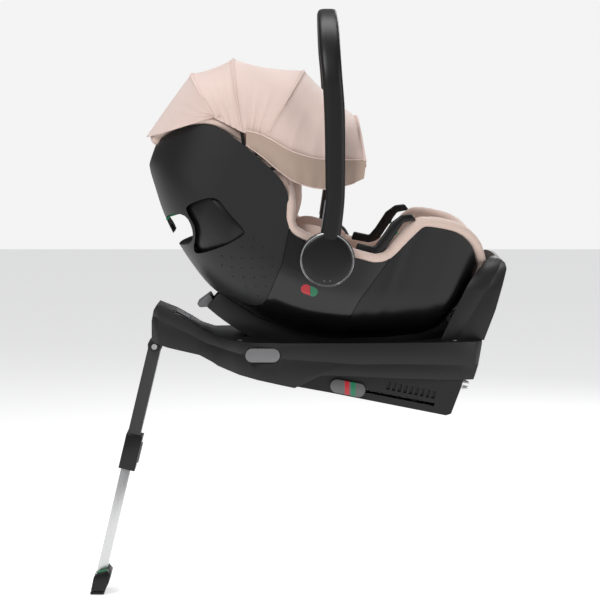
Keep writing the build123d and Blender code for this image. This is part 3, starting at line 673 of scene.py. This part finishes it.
# %% [markdown]
# ## The handle
# The handle is a tall arch of two moulded half shells. Its side view is a slim S-curve, widest at the hub,
# and its front view is a rounded gate. Sweeping a soft rectangle along the gate, with its centre and width
# taken from the side curve, gives one smooth body, with a shallow groove where the shells meet.

# %% Sweep the arch
# Heights, each with the back and the front of the arm there.
HANDLE_SIDE = [(250, -271, -233), (270, -268, -232.5), (305, -262, -227), (353, -255.5, -222),
               (401, -255.5, -221), (433, -256, -221), (466, -256.5, -221), (512, -258, -222),
               (564, -261, -226), (613, -265, -229), (655, -267, -231), (682, -268, -233)]
fine_side = smooth_rows(HANDLE_SIDE, 6)


def side_at(z):
    for (z0, a0, b0), (z1, a1, b1) in zip(fine_side, fine_side[1:]):
        if z0 <= z <= z1:
            t = (z - z0) / (z1 - z0)
            return a0 + (a1 - a0) * t, b0 + (b1 - b0) * t
    return fine_side[-1][1:] if z > 600 else fine_side[0][1:]


OUTER_Y, ARM_DEPTH, TOP_Z, BEND = 220.0, 24.0, 682.0, 135.0
path = [(-OUTER_Y, z) for z in range(262, int(TOP_Z - BEND), 7)]
path += [(-(OUTER_Y - BEND) - BEND * math.cos(a), TOP_Z - BEND + BEND * math.sin(a))
         for a in (math.pi / 2 * i / 26 for i in range(27))]
path += [(y, TOP_Z) for y in range(-76, 0, 9)]
path += [(0.0, TOP_Z)] + [(-y, z) for y, z in path[::-1]]
path = path[:1] + [p for before, p in zip(path, path[1:]) if math.dist(before, p) > 1]


def soft_section(half_width, half_depth, turns, power=3.6, groove=0.7):
    """A squared-off oval with a shallow groove where the two half shells meet."""
    ring = []
    for i in range(turns):
        a = 2 * math.pi * i / turns
        x = signed_power(math.cos(a), 2 / power) * half_width
        d = signed_power(math.sin(a), 2 / power) * half_depth
        if abs(d) < 0.9:
            x -= math.copysign(groove, x)
        ring.append((x, d))
    return ring


corners = []
turns = 40
for i, (y, z) in enumerate(path):
    before, after = path[max(i - 1, 0)], path[min(i + 1, len(path) - 1)]
    run = Vector((after[0] - before[0], after[1] - before[1])).normalized()
    inward = Vector((run.y, -run.x))
    left, right = side_at(z)
    for x, d in soft_section((right - left) / 2, ARM_DEPTH / 2, turns):
        centre = Vector((y, z)) + inward * (ARM_DEPTH / 2 + d)
        corners.append(place((left + right) / 2 + x, centre.x, centre.y))
faces = grid_faces(len(path), turns, closed=True)
faces += [tuple(range(turns)), tuple(range((len(path) - 1) * turns, len(path) * turns))]
handle = new_piece("handle_arch", corners, faces, handle_satin, "handle", "handle_inner", "handle_outer",
                   slot="handle_plastic")
print("handle arch:", len(path), "sections of", turns, "points")

# %% [markdown]
# ## Hubs
# The round hubs carry a disc cover with a thin bright edge. A lathe profile is the natural way: a list of
# (radius, depth) pairs turned about the hub's axis.

# %% Lathe along Y
def lathe_y(name, profile, x, z, side, material, body, *nodes, turns=96, slot=None):
    corners = [place(x + r * math.cos(a), side * y, z + r * math.sin(a))
               for r, y in profile for a in (2 * math.pi * i / turns for i in range(turns))]
    faces = grid_faces(len(profile), turns, closed=True)
    faces += [tuple(range(turns)), tuple(range((len(profile) - 1) * turns, len(profile) * turns))]
    return new_piece(name, corners, faces, material, body, *nodes, slot=slot)


HUB_RING = [(12.3, 196.3), (43.0, 196.3), (46.6, 198), (47.6, 203), (47.6, 213), (46, 214), (12.3, 214)]
HUB_COVER = [(0.5, 214.1), (46.2, 214.1), (47.3, 215.2), (47.3, 217.6), (46.3, 218.6), (44.6, 218.5),
             (43.9, 218.0), (43.2, 218.6), (41.0, 219.4), (30, 220.6), (15, 221.3), (0.5, 221.5)]
HUB_TRIM = [(44.1, 218.2), (44.5, 219.0), (45.9, 219.1), (46.5, 218.4), (45.9, 217.9), (44.4, 217.9)]
SIDES = ((-1, "right"), (1, "left"))
for side, tag in SIDES:
    lathe_y("hub_ring_" + tag, HUB_RING, HUB.x, HUB.z, side, handle_satin, "handle", slot="handle_plastic")
    lathe_y("hub_cover_" + tag, HUB_COVER, HUB.x, HUB.z, side, boot_satin, "handle",
            *(["hub_covers"] if side < 0 else []), slot="handle_plastic")
    lathe_y("hub_trim_" + tag, HUB_TRIM, HUB.x, HUB.z, side, chrome, "handle")
bright = [place(HUB.x + dx, s * 220.4, HUB.z - 36) for s in (-1, 1) for dx in (-5, 5)]
hub_dot_tree = scatter_tree("hub dots", "GeometryNodeMeshCylinder", {"Radius": 0.0011, "Depth": 0.0008},
                            lever_grey)
scatter("hub_dots", hub_dot_tree, bright, [Vector((0, s, 0)) for s in (-1, -1, 1, 1)], [UP] * 4,
        "handle", "handle_plastic")

# %% [markdown]
# ## The canopy
# The canopy is one fabric skin stretched over hoops that all turn about one line. Between two hoops the
# cloth is tight along them but sinks a little across, so each gore is a saddle. A ring of points is worked
# out for each hoop, the rings between are blended by angle, and a sine lowers the middle. The gores share
# their edge rings, so the whole reads as one sheet that is seamed at the hoops.

# %% Rings of the canopy
PIVOT = Vector((-390.0, 0.0, 403.0))
CLOTH_Y = 168.0
VALANCE_Y = 172.0
RING_TURNS = 72
CROWN = RING_TURNS // 2
ROOF = 2 / 2.6
CLOTH = 1.6


def roof_steps():
    """Round a hoop from side to side: how far across and how far up its squared arch."""
    for i in range(RING_TURNS + 1):
        a = math.pi * i / RING_TURNS
        yield signed_power(math.cos(a), ROOF), max(math.sin(a), 0) ** ROOF


def arch_ring(angle, height, half, foot):
    """A hoop that stands at this angle about the pivot line."""
    direction = Vector((math.cos(math.radians(angle)), 0, math.sin(math.radians(angle))))
    return [PIVOT + direction * (foot + (height - foot) * up) + Vector((0, across * half, 0))
            for across, up in roof_steps()]


def leaning_ring(top, side, half):
    """A hoop that leans in the side view, from its feet to its crown."""
    (tx, tz), (sx, sz) = top, side
    return [Vector((sx + (tx - sx) * up, across * half, sz + (tz - sz) * up)) for across, up in roof_steps()]


def turned_between(p, q, t):
    """Between two points, by angle and reach about the pivot line."""
    a, b = p - PIVOT, q - PIVOT
    ra, rb = math.hypot(a.x, a.z), math.hypot(b.x, b.z)
    fa, fb = math.atan2(a.z, a.x), math.atan2(b.z, b.x)
    chord = a.lerp(b, t)
    angle, reach = fa + (fb - fa) * t, ra + (rb - ra) * t
    arc = Vector((math.cos(angle) * reach, chord.y, math.sin(angle) * reach))
    return PIVOT + chord.lerp(arc, 0.28)


def crease(i, t, phase):
    """Small folds that fan out from the pivots and fade over the crown."""
    low = abs(i / CROWN - 1) ** 3
    return low * (1.3 * math.sin(9 * t * math.pi + phase) + 0.7 * math.sin(17 * t * math.pi + 2.1 * phase))


def gore_grid(first, second, steps, sag, phase):
    rows = []
    for s in range(steps + 1):
        t = s / steps
        dip = sag * math.sin(math.pi * t) ** 0.8
        row = []
        for i, (p, q) in enumerate(zip(first, second)):
            at = turned_between(p, q, t)
            inward = Vector((PIVOT.x - at.x, -at.y * 0.9, PIVOT.z - at.z)).normalized()
            fold = crease(i, t, phase) * math.sin(math.pi * t)
            row.append(at + inward * (dip * (0.35 + 0.65 * math.sin(math.pi * i / RING_TURNS) ** 0.7) + fold))
        rows.append(row)
    return rows


def sheet_piece(name, rows, thickness, material, offset=-1):
    """A grid of points given an even thickness inwards, with closed edges."""
    across = len(rows[0])
    mesh = mesh_of(name, [place(*p) for row in rows for p in row], grid_faces(len(rows), across))
    piece = added(name, mesh)
    middle = rows[len(rows) // 2][across // 2]
    inside = place(*(PIVOT + (middle - PIVOT) * 0.4))
    shape = bmesh.new()
    shape.from_mesh(mesh)
    bmesh.ops.remove_doubles(shape, verts=shape.verts, dist=1e-5)
    bmesh.ops.recalc_face_normals(shape, faces=shape.faces)
    if sum(f.normal.dot(f.calc_center_median() - inside) for f in shape.faces) < 0:
        bmesh.ops.reverse_faces(shape, faces=shape.faces)
    shape.to_mesh(mesh)
    shape.free()
    wall = piece.modifiers.new("cloth thickness", "SOLIDIFY")
    wall.thickness, wall.offset = thickness * MM, offset
    apply_modifiers(piece)
    return painted(piece, material)


def length_of(points):
    return sum((p - q).length for p, q in zip(points, points[1:])) * MM


GORE_ROWS, SIDE_DROP = 26, 21
REAR = arch_ring(122, 194, CLOTH_Y, 104)
MIDDLE = arch_ring(98.4, 193, CLOTH_Y, 66)
FORWARD = arch_ring(60, 197, CLOTH_Y, 62)
FRONT = leaning_ring((-199, 491), (-186, 411), VALANCE_Y)
LOW = leaning_ring((-573, 456), (-436, 498), CLOTH_Y)
gores = {}
for name, first, second, sag, body_a, body_b in (
        ("canopy_gore_rear", REAR, MIDDLE, 5, "carrier", "canopy_middle"),
        ("canopy_gore_middle", MIDDLE, FORWARD, 9, "canopy_middle", "canopy_forward"),
        ("canopy_gore_front", FORWARD, FRONT, 6, "canopy_forward", "canopy_front")):
    rows = gore_grid(first, second, GORE_ROWS, sag, len(name) * 1.7)
    if "front" in name:
        # The lower edge of the front gore hangs behind the valance.
        for r, row in enumerate(rows):
            for i, at in enumerate(row):
                low = (1 - math.sin(math.pi * i / RING_TURNS) ** 0.77) ** 2
                at.z -= SIDE_DROP * low * math.sin(math.pi * r / GORE_ROWS)
    piece = sheet_piece(name + "_cloth", rows, CLOTH, canopy_cloth)
    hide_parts(name)
    a, b = first[CROWN], second[CROWN]
    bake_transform(piece)
    wide_m, long_m = length_of(first), (b - a).length * MM * 1.06
    "canopy_bow_middle" if "front" not in name else "canopy_bow_forward"
    gores[name] = rows
rear_rows = gore_grid(LOW, REAR, 22, 3, 4.0)
rear_cloth = sheet_piece("canopy_rear_cloth", rear_rows, CLOTH, canopy_cloth)
hand_over(rear_cloth, "carrier", "canopy_rear_panel", slot="canopy_fabric")
print("gores:", list(gores))

# %% [markdown]
# ## Piping, seams and stitches
# Every hoop shows as a corded seam: a thin piping over the hoop with a row of stitches on each side. The
# piping is a swept round tube. The stitches are one tiny bar, repeated by the scatter tree along the ring.

# %% Piping tube and stitch rows
def tube_along(name, points, radius, material, body, turns=8, slot=None):
    corners = []
    for i, at in enumerate(points):
        run = (points[min(i + 1, len(points) - 1)] - points[max(i - 1, 0)]).normalized()
        side = run.cross(Vector((0, 0, 1)) if abs(run.z) < 0.9 else Vector((1, 0, 0))).normalized()
        up = side.cross(run)
        corners += [place(*(at + (side * math.cos(a) + up * math.sin(a)) * radius))
                    for a in (2 * math.pi * k / turns for k in range(turns))]
    faces = grid_faces(len(points), turns, closed=True)
    faces += [tuple(range(turns)), tuple(range((len(points) - 1) * turns, len(points) * turns))]
    return new_piece(name, corners, faces, material, body, slot=slot)


stitch_tree = scatter_tree("stitches", "GeometryNodeMeshCube", {}, thread_cloth)


def stitch_row(name, ring, neighbour, body, pitch=4.2):
    """Stitches beside a ring, most of the way towards the next row of the cloth."""
    points, outs, runs = [], [], []
    line = [p.lerp(q, 0.75) for p, q in zip(ring, neighbour)]
    left = 0.0
    for a, b in zip(line, line[1:]):
        run, span = (b - a).normalized(), (b - a).length
        at = left
        while at < span:
            spot = a + run * at
            out = Vector((spot.x - PIVOT.x, spot.y, spot.z - PIVOT.z)).normalized()
            out = (out - run * out.dot(run)).normalized()
            points.append(place(*(spot + out * 0.35)))
            outs.append(out)
            runs.append(run)
            at += pitch
        left = at - span
    return scatter(name, stitch_tree, points, outs, runs, body, "canopy_fabric")


for ring, body, tag in ((REAR, "carrier", "rear"), (MIDDLE, "canopy_middle", "middle"),
                        (FORWARD, "canopy_forward", "forward")):
    raised = [p + Vector((p.x - PIVOT.x, p.y * 0.6, p.z - PIVOT.z)).normalized() * 0.7 for p in ring[1:-1]]
    tube_along("canopy_piping_" + tag, raised, 1.3, canopy_cloth, body, slot="canopy_fabric")
SEAMS = [("canopy_gore_rear", 0, 2, "carrier"), ("canopy_gore_rear", -1, -3, "canopy_middle"),
         ("canopy_gore_middle", 0, 1, "canopy_middle"), ("canopy_gore_middle", -1, -2, "canopy_forward"),
         ("canopy_gore_front", 0, 1, "canopy_forward"), ("canopy_gore_front", -1, -2, "canopy_front")]
for name, edge, near, body in SEAMS:
    stitch_row(f"stitches_{name}_{edge % 7}", gores[name][edge], gores[name][near], body)
front_line = [p + Vector((0.8, 0, 0.4)) for p in FRONT[1:-1]]
tube_along("canopy_front_hem", front_line, 2.6, canopy_cloth, "canopy_front", turns=12, slot="canopy_fabric")

# %% [markdown]
# ## The valance
# Below the seam on each side a browner band hangs from the canopy and follows it round to the front. It is a
# strip between a top line and a bottom line, with shallow gathers that deepen towards the bottom.

# %% Valance strips
TOP_LINE = [(-392, 471), (-379, 468), (-366, 464), (-344, 453), (-322, 440), (-301, 431), (-280, 425),
            (-259, 421.5), (-240, 421), (-220, 421), (-201, 421), (-183.5, 421)]
LOW_LINE = [(-392, 446), (-378, 436), (-362, 424), (-340, 405), (-316, 387), (-299, 379), (-281, 373.5),
            (-266, 371), (-252, 370), (-232, 373), (-209, 379), (-188, 388)]
VALANCE_STEPS = 14
for side, tag in SIDES:
    top, low = smooth_rows(TOP_LINE, 8), smooth_rows(LOW_LINE, 8)
    rows = []
    for i, (a, b) in enumerate(zip(top, low)):
        row = []
        for k in range(VALANCE_STEPS + 1):
            t = k / VALANCE_STEPS
            wave = 1.1 * math.sin(i * 0.55) * t ** 1.5 + 0.6 * math.sin(i * 0.21 + 1) * t
            belly = 2.2 * math.sin(math.pi * t)
            row.append(Vector((a[0] + (b[0] - a[0]) * t, side * (VALANCE_Y + wave + belly),
                               a[1] + (b[1] - a[1]) * t)))
        rows.append(row)
    strip = sheet_piece("valance_" + tag, rows, CLOTH, valance_cloth)
    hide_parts("canopy_valance")
    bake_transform(strip)
    low_edge = [row[-1] for row in rows]
    high_edge = [row[0] + Vector((0, side * 1.0, 0)) for row in rows]
    for trim, edge in (("hem", low_edge[:-6]), ("seam", high_edge)):
        cord = tube_along(f"valance_{trim}_{tag}", edge, 1.1, canopy_cloth, None, slot="canopy_fabric")
        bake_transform(cord)
print("valance strips, each with a hem and a seam:", len(SIDES))

# %% [markdown]
# ## The padded cover
# The cover is a quilted lining in the bucket and a fat rolled edge that laps over the shell's rim. The roll
# follows the rim line all the way round; at the foot it hangs over the boot's tip. A sweep with a soft
# oval section, which swells between its seams, gives the plump look that the real roll has.

# %% Rolled edge round the rim
def rim_rows():
    rows = []
    for u, width, keel, depth, rim in STATIONS[1:-1]:
        beside_hoops = -262 < u < -96
        edge = 154.0 if beside_hoops else width + 1.0
        swell = 8.0 if u < 100 else 9.5
        rows.append((u, edge - 15.5, rim + 7.5, 16.5, swell))
    return rows


foot_end = [(262, 76, 58, 15, 15), (266, 50, 47, 14, 20), (267, 24, 43, 13, 22), (267.5, 0, 42, 13, 22)]
head_end = [(-346, 78, 88, 14, 9), (-352, 48, 92, 13, 9), (-354, 22, 94, 13, 9), (-354, 0, 95, 13, 9)]
loop = smooth_rows(head_end[::-1] + rim_rows() + foot_end, 5)
loop = loop + [(u, -y, v, a, b) for u, y, v, a, b in loop[-2:0:-1]]
turns = 28
corners, travelled = [], 0.0
for i, (u, y, v, out_half, up_half) in enumerate(loop):
    a, b = Vector(loop[i - 1][:3]), Vector(loop[(i + 1) % len(loop)][:3])
    here = Vector((u, y, v))
    travelled += (here - Vector(loop[i - 1][:3])).length if i else 0.0
    run = (b - a).normalized()
    out = Vector((0.55 * (u + 40) / 300, y / 170, 0))
    out = (out - run * out.dot(run)).normalized()
    up = run.cross(out)
    up = up if up.z > 0 or abs(up.z) < 0.2 and up.x < 0 else -up
    seam = max(0, math.cos(travelled * 2 * math.pi / 210)) ** 24
    puff = 1 + 0.05 * math.sin(travelled * 0.19) ** 2 - 0.10 * seam
    for k in range(turns):
        angle = 2 * math.pi * k / turns
        x = signed_power(math.cos(angle), 0.85) * out_half
        z = signed_power(math.sin(angle), 0.85) * up_half * puff
        corners.append(carrier_place(*(here + out * x + up * z)))
faces = grid_faces(len(loop), turns, closed=True)
last = (len(loop) - 1) * turns
faces += [(last + k, last + (k + 1) % turns, (k + 1) % turns, k) for k in range(turns)]
roll = new_piece("cover_rolled_edge", corners, faces, liner_cloth, "carrier", "seat_cover",
                 slot="cover_fabric")

# %% Lining of the bucket, with ripples in its two sides
lining, _ = hull_body("cover_lining", (25, 62), (34.5, 71.5), lift=9)
painted(lining, liner_cloth)
for vertex in lining.data.vertices:
    p = vertex.co / MM
    broad = 1.2 * math.sin(p.x * 0.052) * math.sin(p.z * 0.06 + 1)
    fine = 0.5 * math.sin(p.x * 0.13 + p.y * 0.09)
    if abs(p.y) > 40:
        vertex.co.y -= math.copysign(1, p.y) * (broad + fine) * MM
hand_over(lining, "carrier", "seat_cover", slot="cover_fabric")

# %% [markdown]
# ## The cover's end walls
# At the foot and the head the cover comes up from the bottom of the bucket, over the foam, and down under
# the rolled edge. Each is a strip along a side-view line with a half width, dimpled where it is sewn.

# %% End walls
FOOT_WALL = [(196, -26, 86), (214, 10, 91), (222, 50, 95), (225, 85, 97), (229, 101, 96), (236, 103, 93),
             (247, 91, 83), (257, 78, 72), (267, 63, 58)]
HEAD_WALL = [(-306, 50, 84), (-316, 66, 84), (-321, 88, 86), (-323, 110, 87), (-328, 118, 84),
             (-339, 111, 77), (-349, 97, 64), (-353, 90, 54)]
for wall_name, profile, lean in (("cover_foot_end", FOOT_WALL, -1), ("cover_head_end", HEAD_WALL, 1)):
    rows = []
    for u, v, half in smooth_rows(profile, 5):
        row = []
        for k in range(33):
            t = k / 16 - 1
            dimple = 1.6 * math.cos(math.pi * t * 2.5) * (1 - t * t)
            row.append(carrier_point(u + lean * (dimple * 0.5 + 5 * t ** 4), half * t,
                                     v + 3.0 * (1 - t ** 4) + dimple * 0.5))
        rows.append(row)
    end_wall = sheet_piece(wall_name, rows, 6, liner_cloth, offset=0)
    hand_over(end_wall, "carrier", "seat_cover", slot="cover_fabric")

# %% [markdown]
# ## Bolsters
# Soft wings beside the head and the hips hold a small child upright. Each is a squared-off ball with a
# pinched seam round it, which is closed, crowned and cheap to make.

# %% Pillows
def pillow(name, centre, radii, material, body, turns=40, rings=24, power=2.5):
    """A closed crowned pad: a soft box whose sides pull in towards its seams."""
    corners = []
    for r in range(rings + 1):
        tall = math.pi * r / rings - math.pi / 2
        for k in range(turns):
            angle = 2 * math.pi * k / turns
            flat, up = max(math.cos(tall), 0) ** (2 / power), signed_power(math.sin(tall), 2 / power)
            du = signed_power(math.cos(angle), 2 / power) * flat
            dy = signed_power(math.sin(angle), 2 / power) * flat
            seam = 1 - 0.10 * math.exp(-(math.sin(angle) / 0.12) ** 2)
            corners.append(carrier_place(centre[0] + radii[0] * du * seam, centre[1] + radii[1] * dy,
                                         centre[2] + radii[2] * up * seam))
    piece = new_piece(name, corners, grid_faces(rings + 1, turns, closed=True), material, body,
                      slot="cover_fabric")
    return piece


for side, tag in SIDES:
    u, v = carrier_side(-336, 334)
    pillow("head_bolster_" + tag, (u, side * 118, v), (36, 17, 58), liner_cloth, "carrier")
    u, v = carrier_side(-262, 276)
    pillow("hip_bolster_" + tag, (u, side * 130, v), (52, 13, 24), liner_cloth, "carrier")
print("cover: roll and lining,", len(roll.data.polygons) + len(lining.data.polygons), "faces")

# %% [markdown]
# ## Cushions
# The head cushion, shoulder pads, crotch pad and newborn insert are filled bags. Each starts as its solid,
# is rebuilt as an even mesh, and is blown up a little with cloth pressure, with a cap on how far a point
# may go.

# %% Inflate a copy of a solid
def inflated(node, body, material, cap, pressure=4.0, voxel=0.005):
    piece = copy_of(node, node + "_padded")
    step = piece.modifiers.new("even mesh", "REMESH")
    step.mode, step.voxel_size = "VOXEL", voxel
    apply_modifiers(piece)
    ease = piece.modifiers.new("ease the edges", "SMOOTH")
    ease.factor, ease.iterations = 0.5, 3 * int(cap)
    apply_modifiers(piece)
    rest = [v.co.copy() for v in piece.data.vertices]
    cloth = piece.modifiers.new("air", "CLOTH")
    cloth.settings.use_pressure, cloth.settings.uniform_pressure_force = True, pressure
    cloth.settings.effector_weights.gravity = 0
    cloth.settings.quality = 4
    for frame_number in range(1, 21):
        bpy.context.scene.frame_set(frame_number)
    apply_modifiers(piece)
    bpy.context.scene.frame_set(1)
    for vertex, old in zip(piece.data.vertices, rest):
        step_out = vertex.co - old
        if step_out.length > cap * MM:
            vertex.co = old + step_out.normalized() * cap * MM
    finer = piece.modifiers.new("smooth", "SUBSURF")
    finer.levels = finer.render_levels = 1
    apply_modifiers(piece)
    hand_over(painted(piece, material), body, node, slot="cover_fabric")
    print(node, "padded:", len(piece.data.polygons), "faces")
    return piece


for node, body, cap in (("headrest", "headrest", 8), ("shoulder_pads", "carrier", 4),
                        ("crotch_pad", "carrier", 4), ("seat_insert", "carrier", 4)):
    inflated(node, body, liner_cloth, cap)

# %% [markdown]
# ## Hard parts
# The rest of the model already has the right shape. It gets an edge radius, so that its edges catch light,
# and the finish of the real part.

# %% Softened hard parts
# Each row has the node, its body, its finish and the radius of its edges in metres.
HARD = [("base_upper_shell", "base", base_grained, 0.0028),
        ("base_lower_shell", "base", base_grained, 0.0022),
        ("rebound_bar_rear", "base", base_grained, 0.0060),
        ("rebound_bar_inner", "base", base_grained, 0.0040), ("cradle", "cradle", shell_matte, 0.0025),
        ("cradle_release", "cradle_release", button_grey, 0.0020),
        ("swivel_button_left", "swivel_button_left", button_grey, 0.0018),
        ("swivel_button_right", "swivel_button_right", button_grey, 0.0018),
        ("isofix_knobs", "isofix_arms", slider_grey, 0.0022),
        ("belt_hooks", "carrier", boot_satin, 0.0025),
        ("leg_outer_tube", "leg_upper", leg_painted, 0.0030),
        ("leg_collar", "leg_upper", boot_satin, 0.0025),
        ("leg_button", "leg_button", button_grey, 0.0012),
        ("leg_inner_tube", "leg_lower", leg_silver, 0.0025),
        ("foot_housing", "leg_lower", boot_satin, 0.0035),
        ("foot_sole", "leg_lower", sole_rubber, 0.0012), ("rear_latch", "cradle", steel, 0.0010),
        ("isofix_arm_left", "isofix_arms", leg_silver, 0.0015),
        ("isofix_arm_right", "isofix_arms", leg_silver, 0.0015),
        ("buckle", "carrier", boot_satin, 0.0008),
        ("buckle_button", "buckle_button", red_plastic, 0.0020),
        ("scoop_panels", "carrier", boot_satin, 0.0010)]
for node, body, material, radius in HARD:
    softened(node, body, material, radius)
print("softened", len(HARD), "hard parts")

# %% [markdown]
# ## Parts that stay as solids
# Small or hidden parts are right as they are. They keep their solid and only take a finish.

# %% Finishes for the nodes that stay
STAY = {"handle_pivots": steel, "canopy_pivots": steel, "leg_hinge_pin": steel, "base_screws": steel,
        "isofix_cross_tube": leg_silver, "turntable": base_grained, "isofix_covers": base_grained,
        "turntable_nut": base_grained, "handle_lever_left": lever_grey, "handle_lever_right": lever_grey,
        "grip_pads": sole_rubber, "belt_guide_marks": green_plastic, "foot_indicator": green_plastic,
        "shell_badge": badge_pill, "status_window": window_dark, "foam_liner": foam_grey,
        "harness_straps": strap_cloth, "canopy_bow_rear": boot_satin, "canopy_bow_middle": boot_satin,
        "canopy_bow_forward": boot_satin, "canopy_bow_front": boot_satin}
for node, material in STAY.items():
    painted(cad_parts[node], material)
print("finished", len(STAY), "nodes in place")

# %% [markdown]
# ## Camera and light
# A long lens from a few degrees above keeps the side view almost flat. The light is a white studio: a dim
# sky for the fill, and four softboxes. The camera sees a brighter white than the one that lights the scene,
# so that black plastic stays black against it.

# %% Camera
scene = bpy.context.scene
camera = bpy.data.objects.new("camera", bpy.data.cameras.new("camera"))
scene.collection.objects.link(camera)
aim, lift, far = Vector((-0.2878, 0, 0.136)), math.radians(5), 5.0
camera.location = aim + Vector((0, -math.cos(lift), math.sin(lift))) * far
camera.rotation_euler = (math.radians(90) - lift, 0, 0)
camera.data.lens, camera.data.sensor_width = 166.7, 36
scene.camera = camera
print("camera", round(far, 2), "m away")

# %% Studio
world = bpy.data.worlds.new("studio")
scene.world = world
world.use_nodes = True
scene.view_settings.view_transform = "Standard"
studio, sky = world.node_tree, world.node_tree.nodes["Background"]
seen, white = studio.nodes.new("ShaderNodeLightPath"), studio.nodes.new("ShaderNodeBackground")
white.inputs[0].default_value, white.inputs[1].default_value = (0.97, 0.97, 0.97, 1), 0.93
sky.inputs[0].default_value, sky.inputs[1].default_value = (0.95, 0.96, 1.0, 1), 0.22
choose = studio.nodes.new("ShaderNodeMixShader")
studio.links.new(seen.outputs["Is Camera Ray"], choose.inputs[0])
studio.links.new(sky.outputs[0], choose.inputs[1])
studio.links.new(white.outputs[0], choose.inputs[2])
studio.links.new(choose.outputs[0], studio.nodes["World Output"].inputs[0])


def softbox(name, place_at, towards, size, power):
    lamp = bpy.data.lights.new(name, "AREA")
    lamp.shape, lamp.size, lamp.size_y, lamp.energy = "RECTANGLE", size[0], size[1], power
    made = bpy.data.objects.new(name, lamp)
    scene.collection.objects.link(made)
    made.location = place_at
    made.rotation_euler = (Vector(towards) - Vector(place_at)).to_track_quat("-Z", "Y").to_euler()


softbox("key", (-1.6, -2.4, 2.2), (-0.3, 0, 0.2), (0.9, 1.3), 46)
softbox("fill", (1.9, -1.8, 0.9), (-0.3, 0, 0.1), (0.7, 1.6), 14)
softbox("top", (-0.3, 0.3, 2.4), (-0.3, 0, 0.2), (1.8, 1.0), 30)
softbox("rim", (0.9, 2.2, 1.4), (-0.3, 0, 0.2), (1.4, 1.0), 24)

print("lights:", [light.name for light in bpy.data.lights])

# %% [markdown]
# ## Floor
# The floor lies just under the sole. It is nearly white and glows a little, so that the shadows stay soft.

# %% Floor
UNDER_SOLE, FLOOR_HALF = 0.0006, 9
floor_level = cad_box[0][2] - UNDER_SOLE
ring = [(x * FLOOR_HALF, y * FLOOR_HALF, floor_level) for x, y in ((-1, -1), (1, -1), (1, 1), (-1, 1))]
ground = added("floor", mesh_of("floor", ring, [(0, 1, 2, 3)]))
pale = moulded("pale_floor", 0.80, 0.85, 0.0, tint=(1, 1, 1))
glow = pale.node_tree.nodes["Principled BSDF"].inputs
glow["Emission Color"].default_value, glow["Emission Strength"].default_value = (1, 1, 1, 1), 0.55
ground.data.materials.append(pale)
print("floor at", round(floor_level, 4))
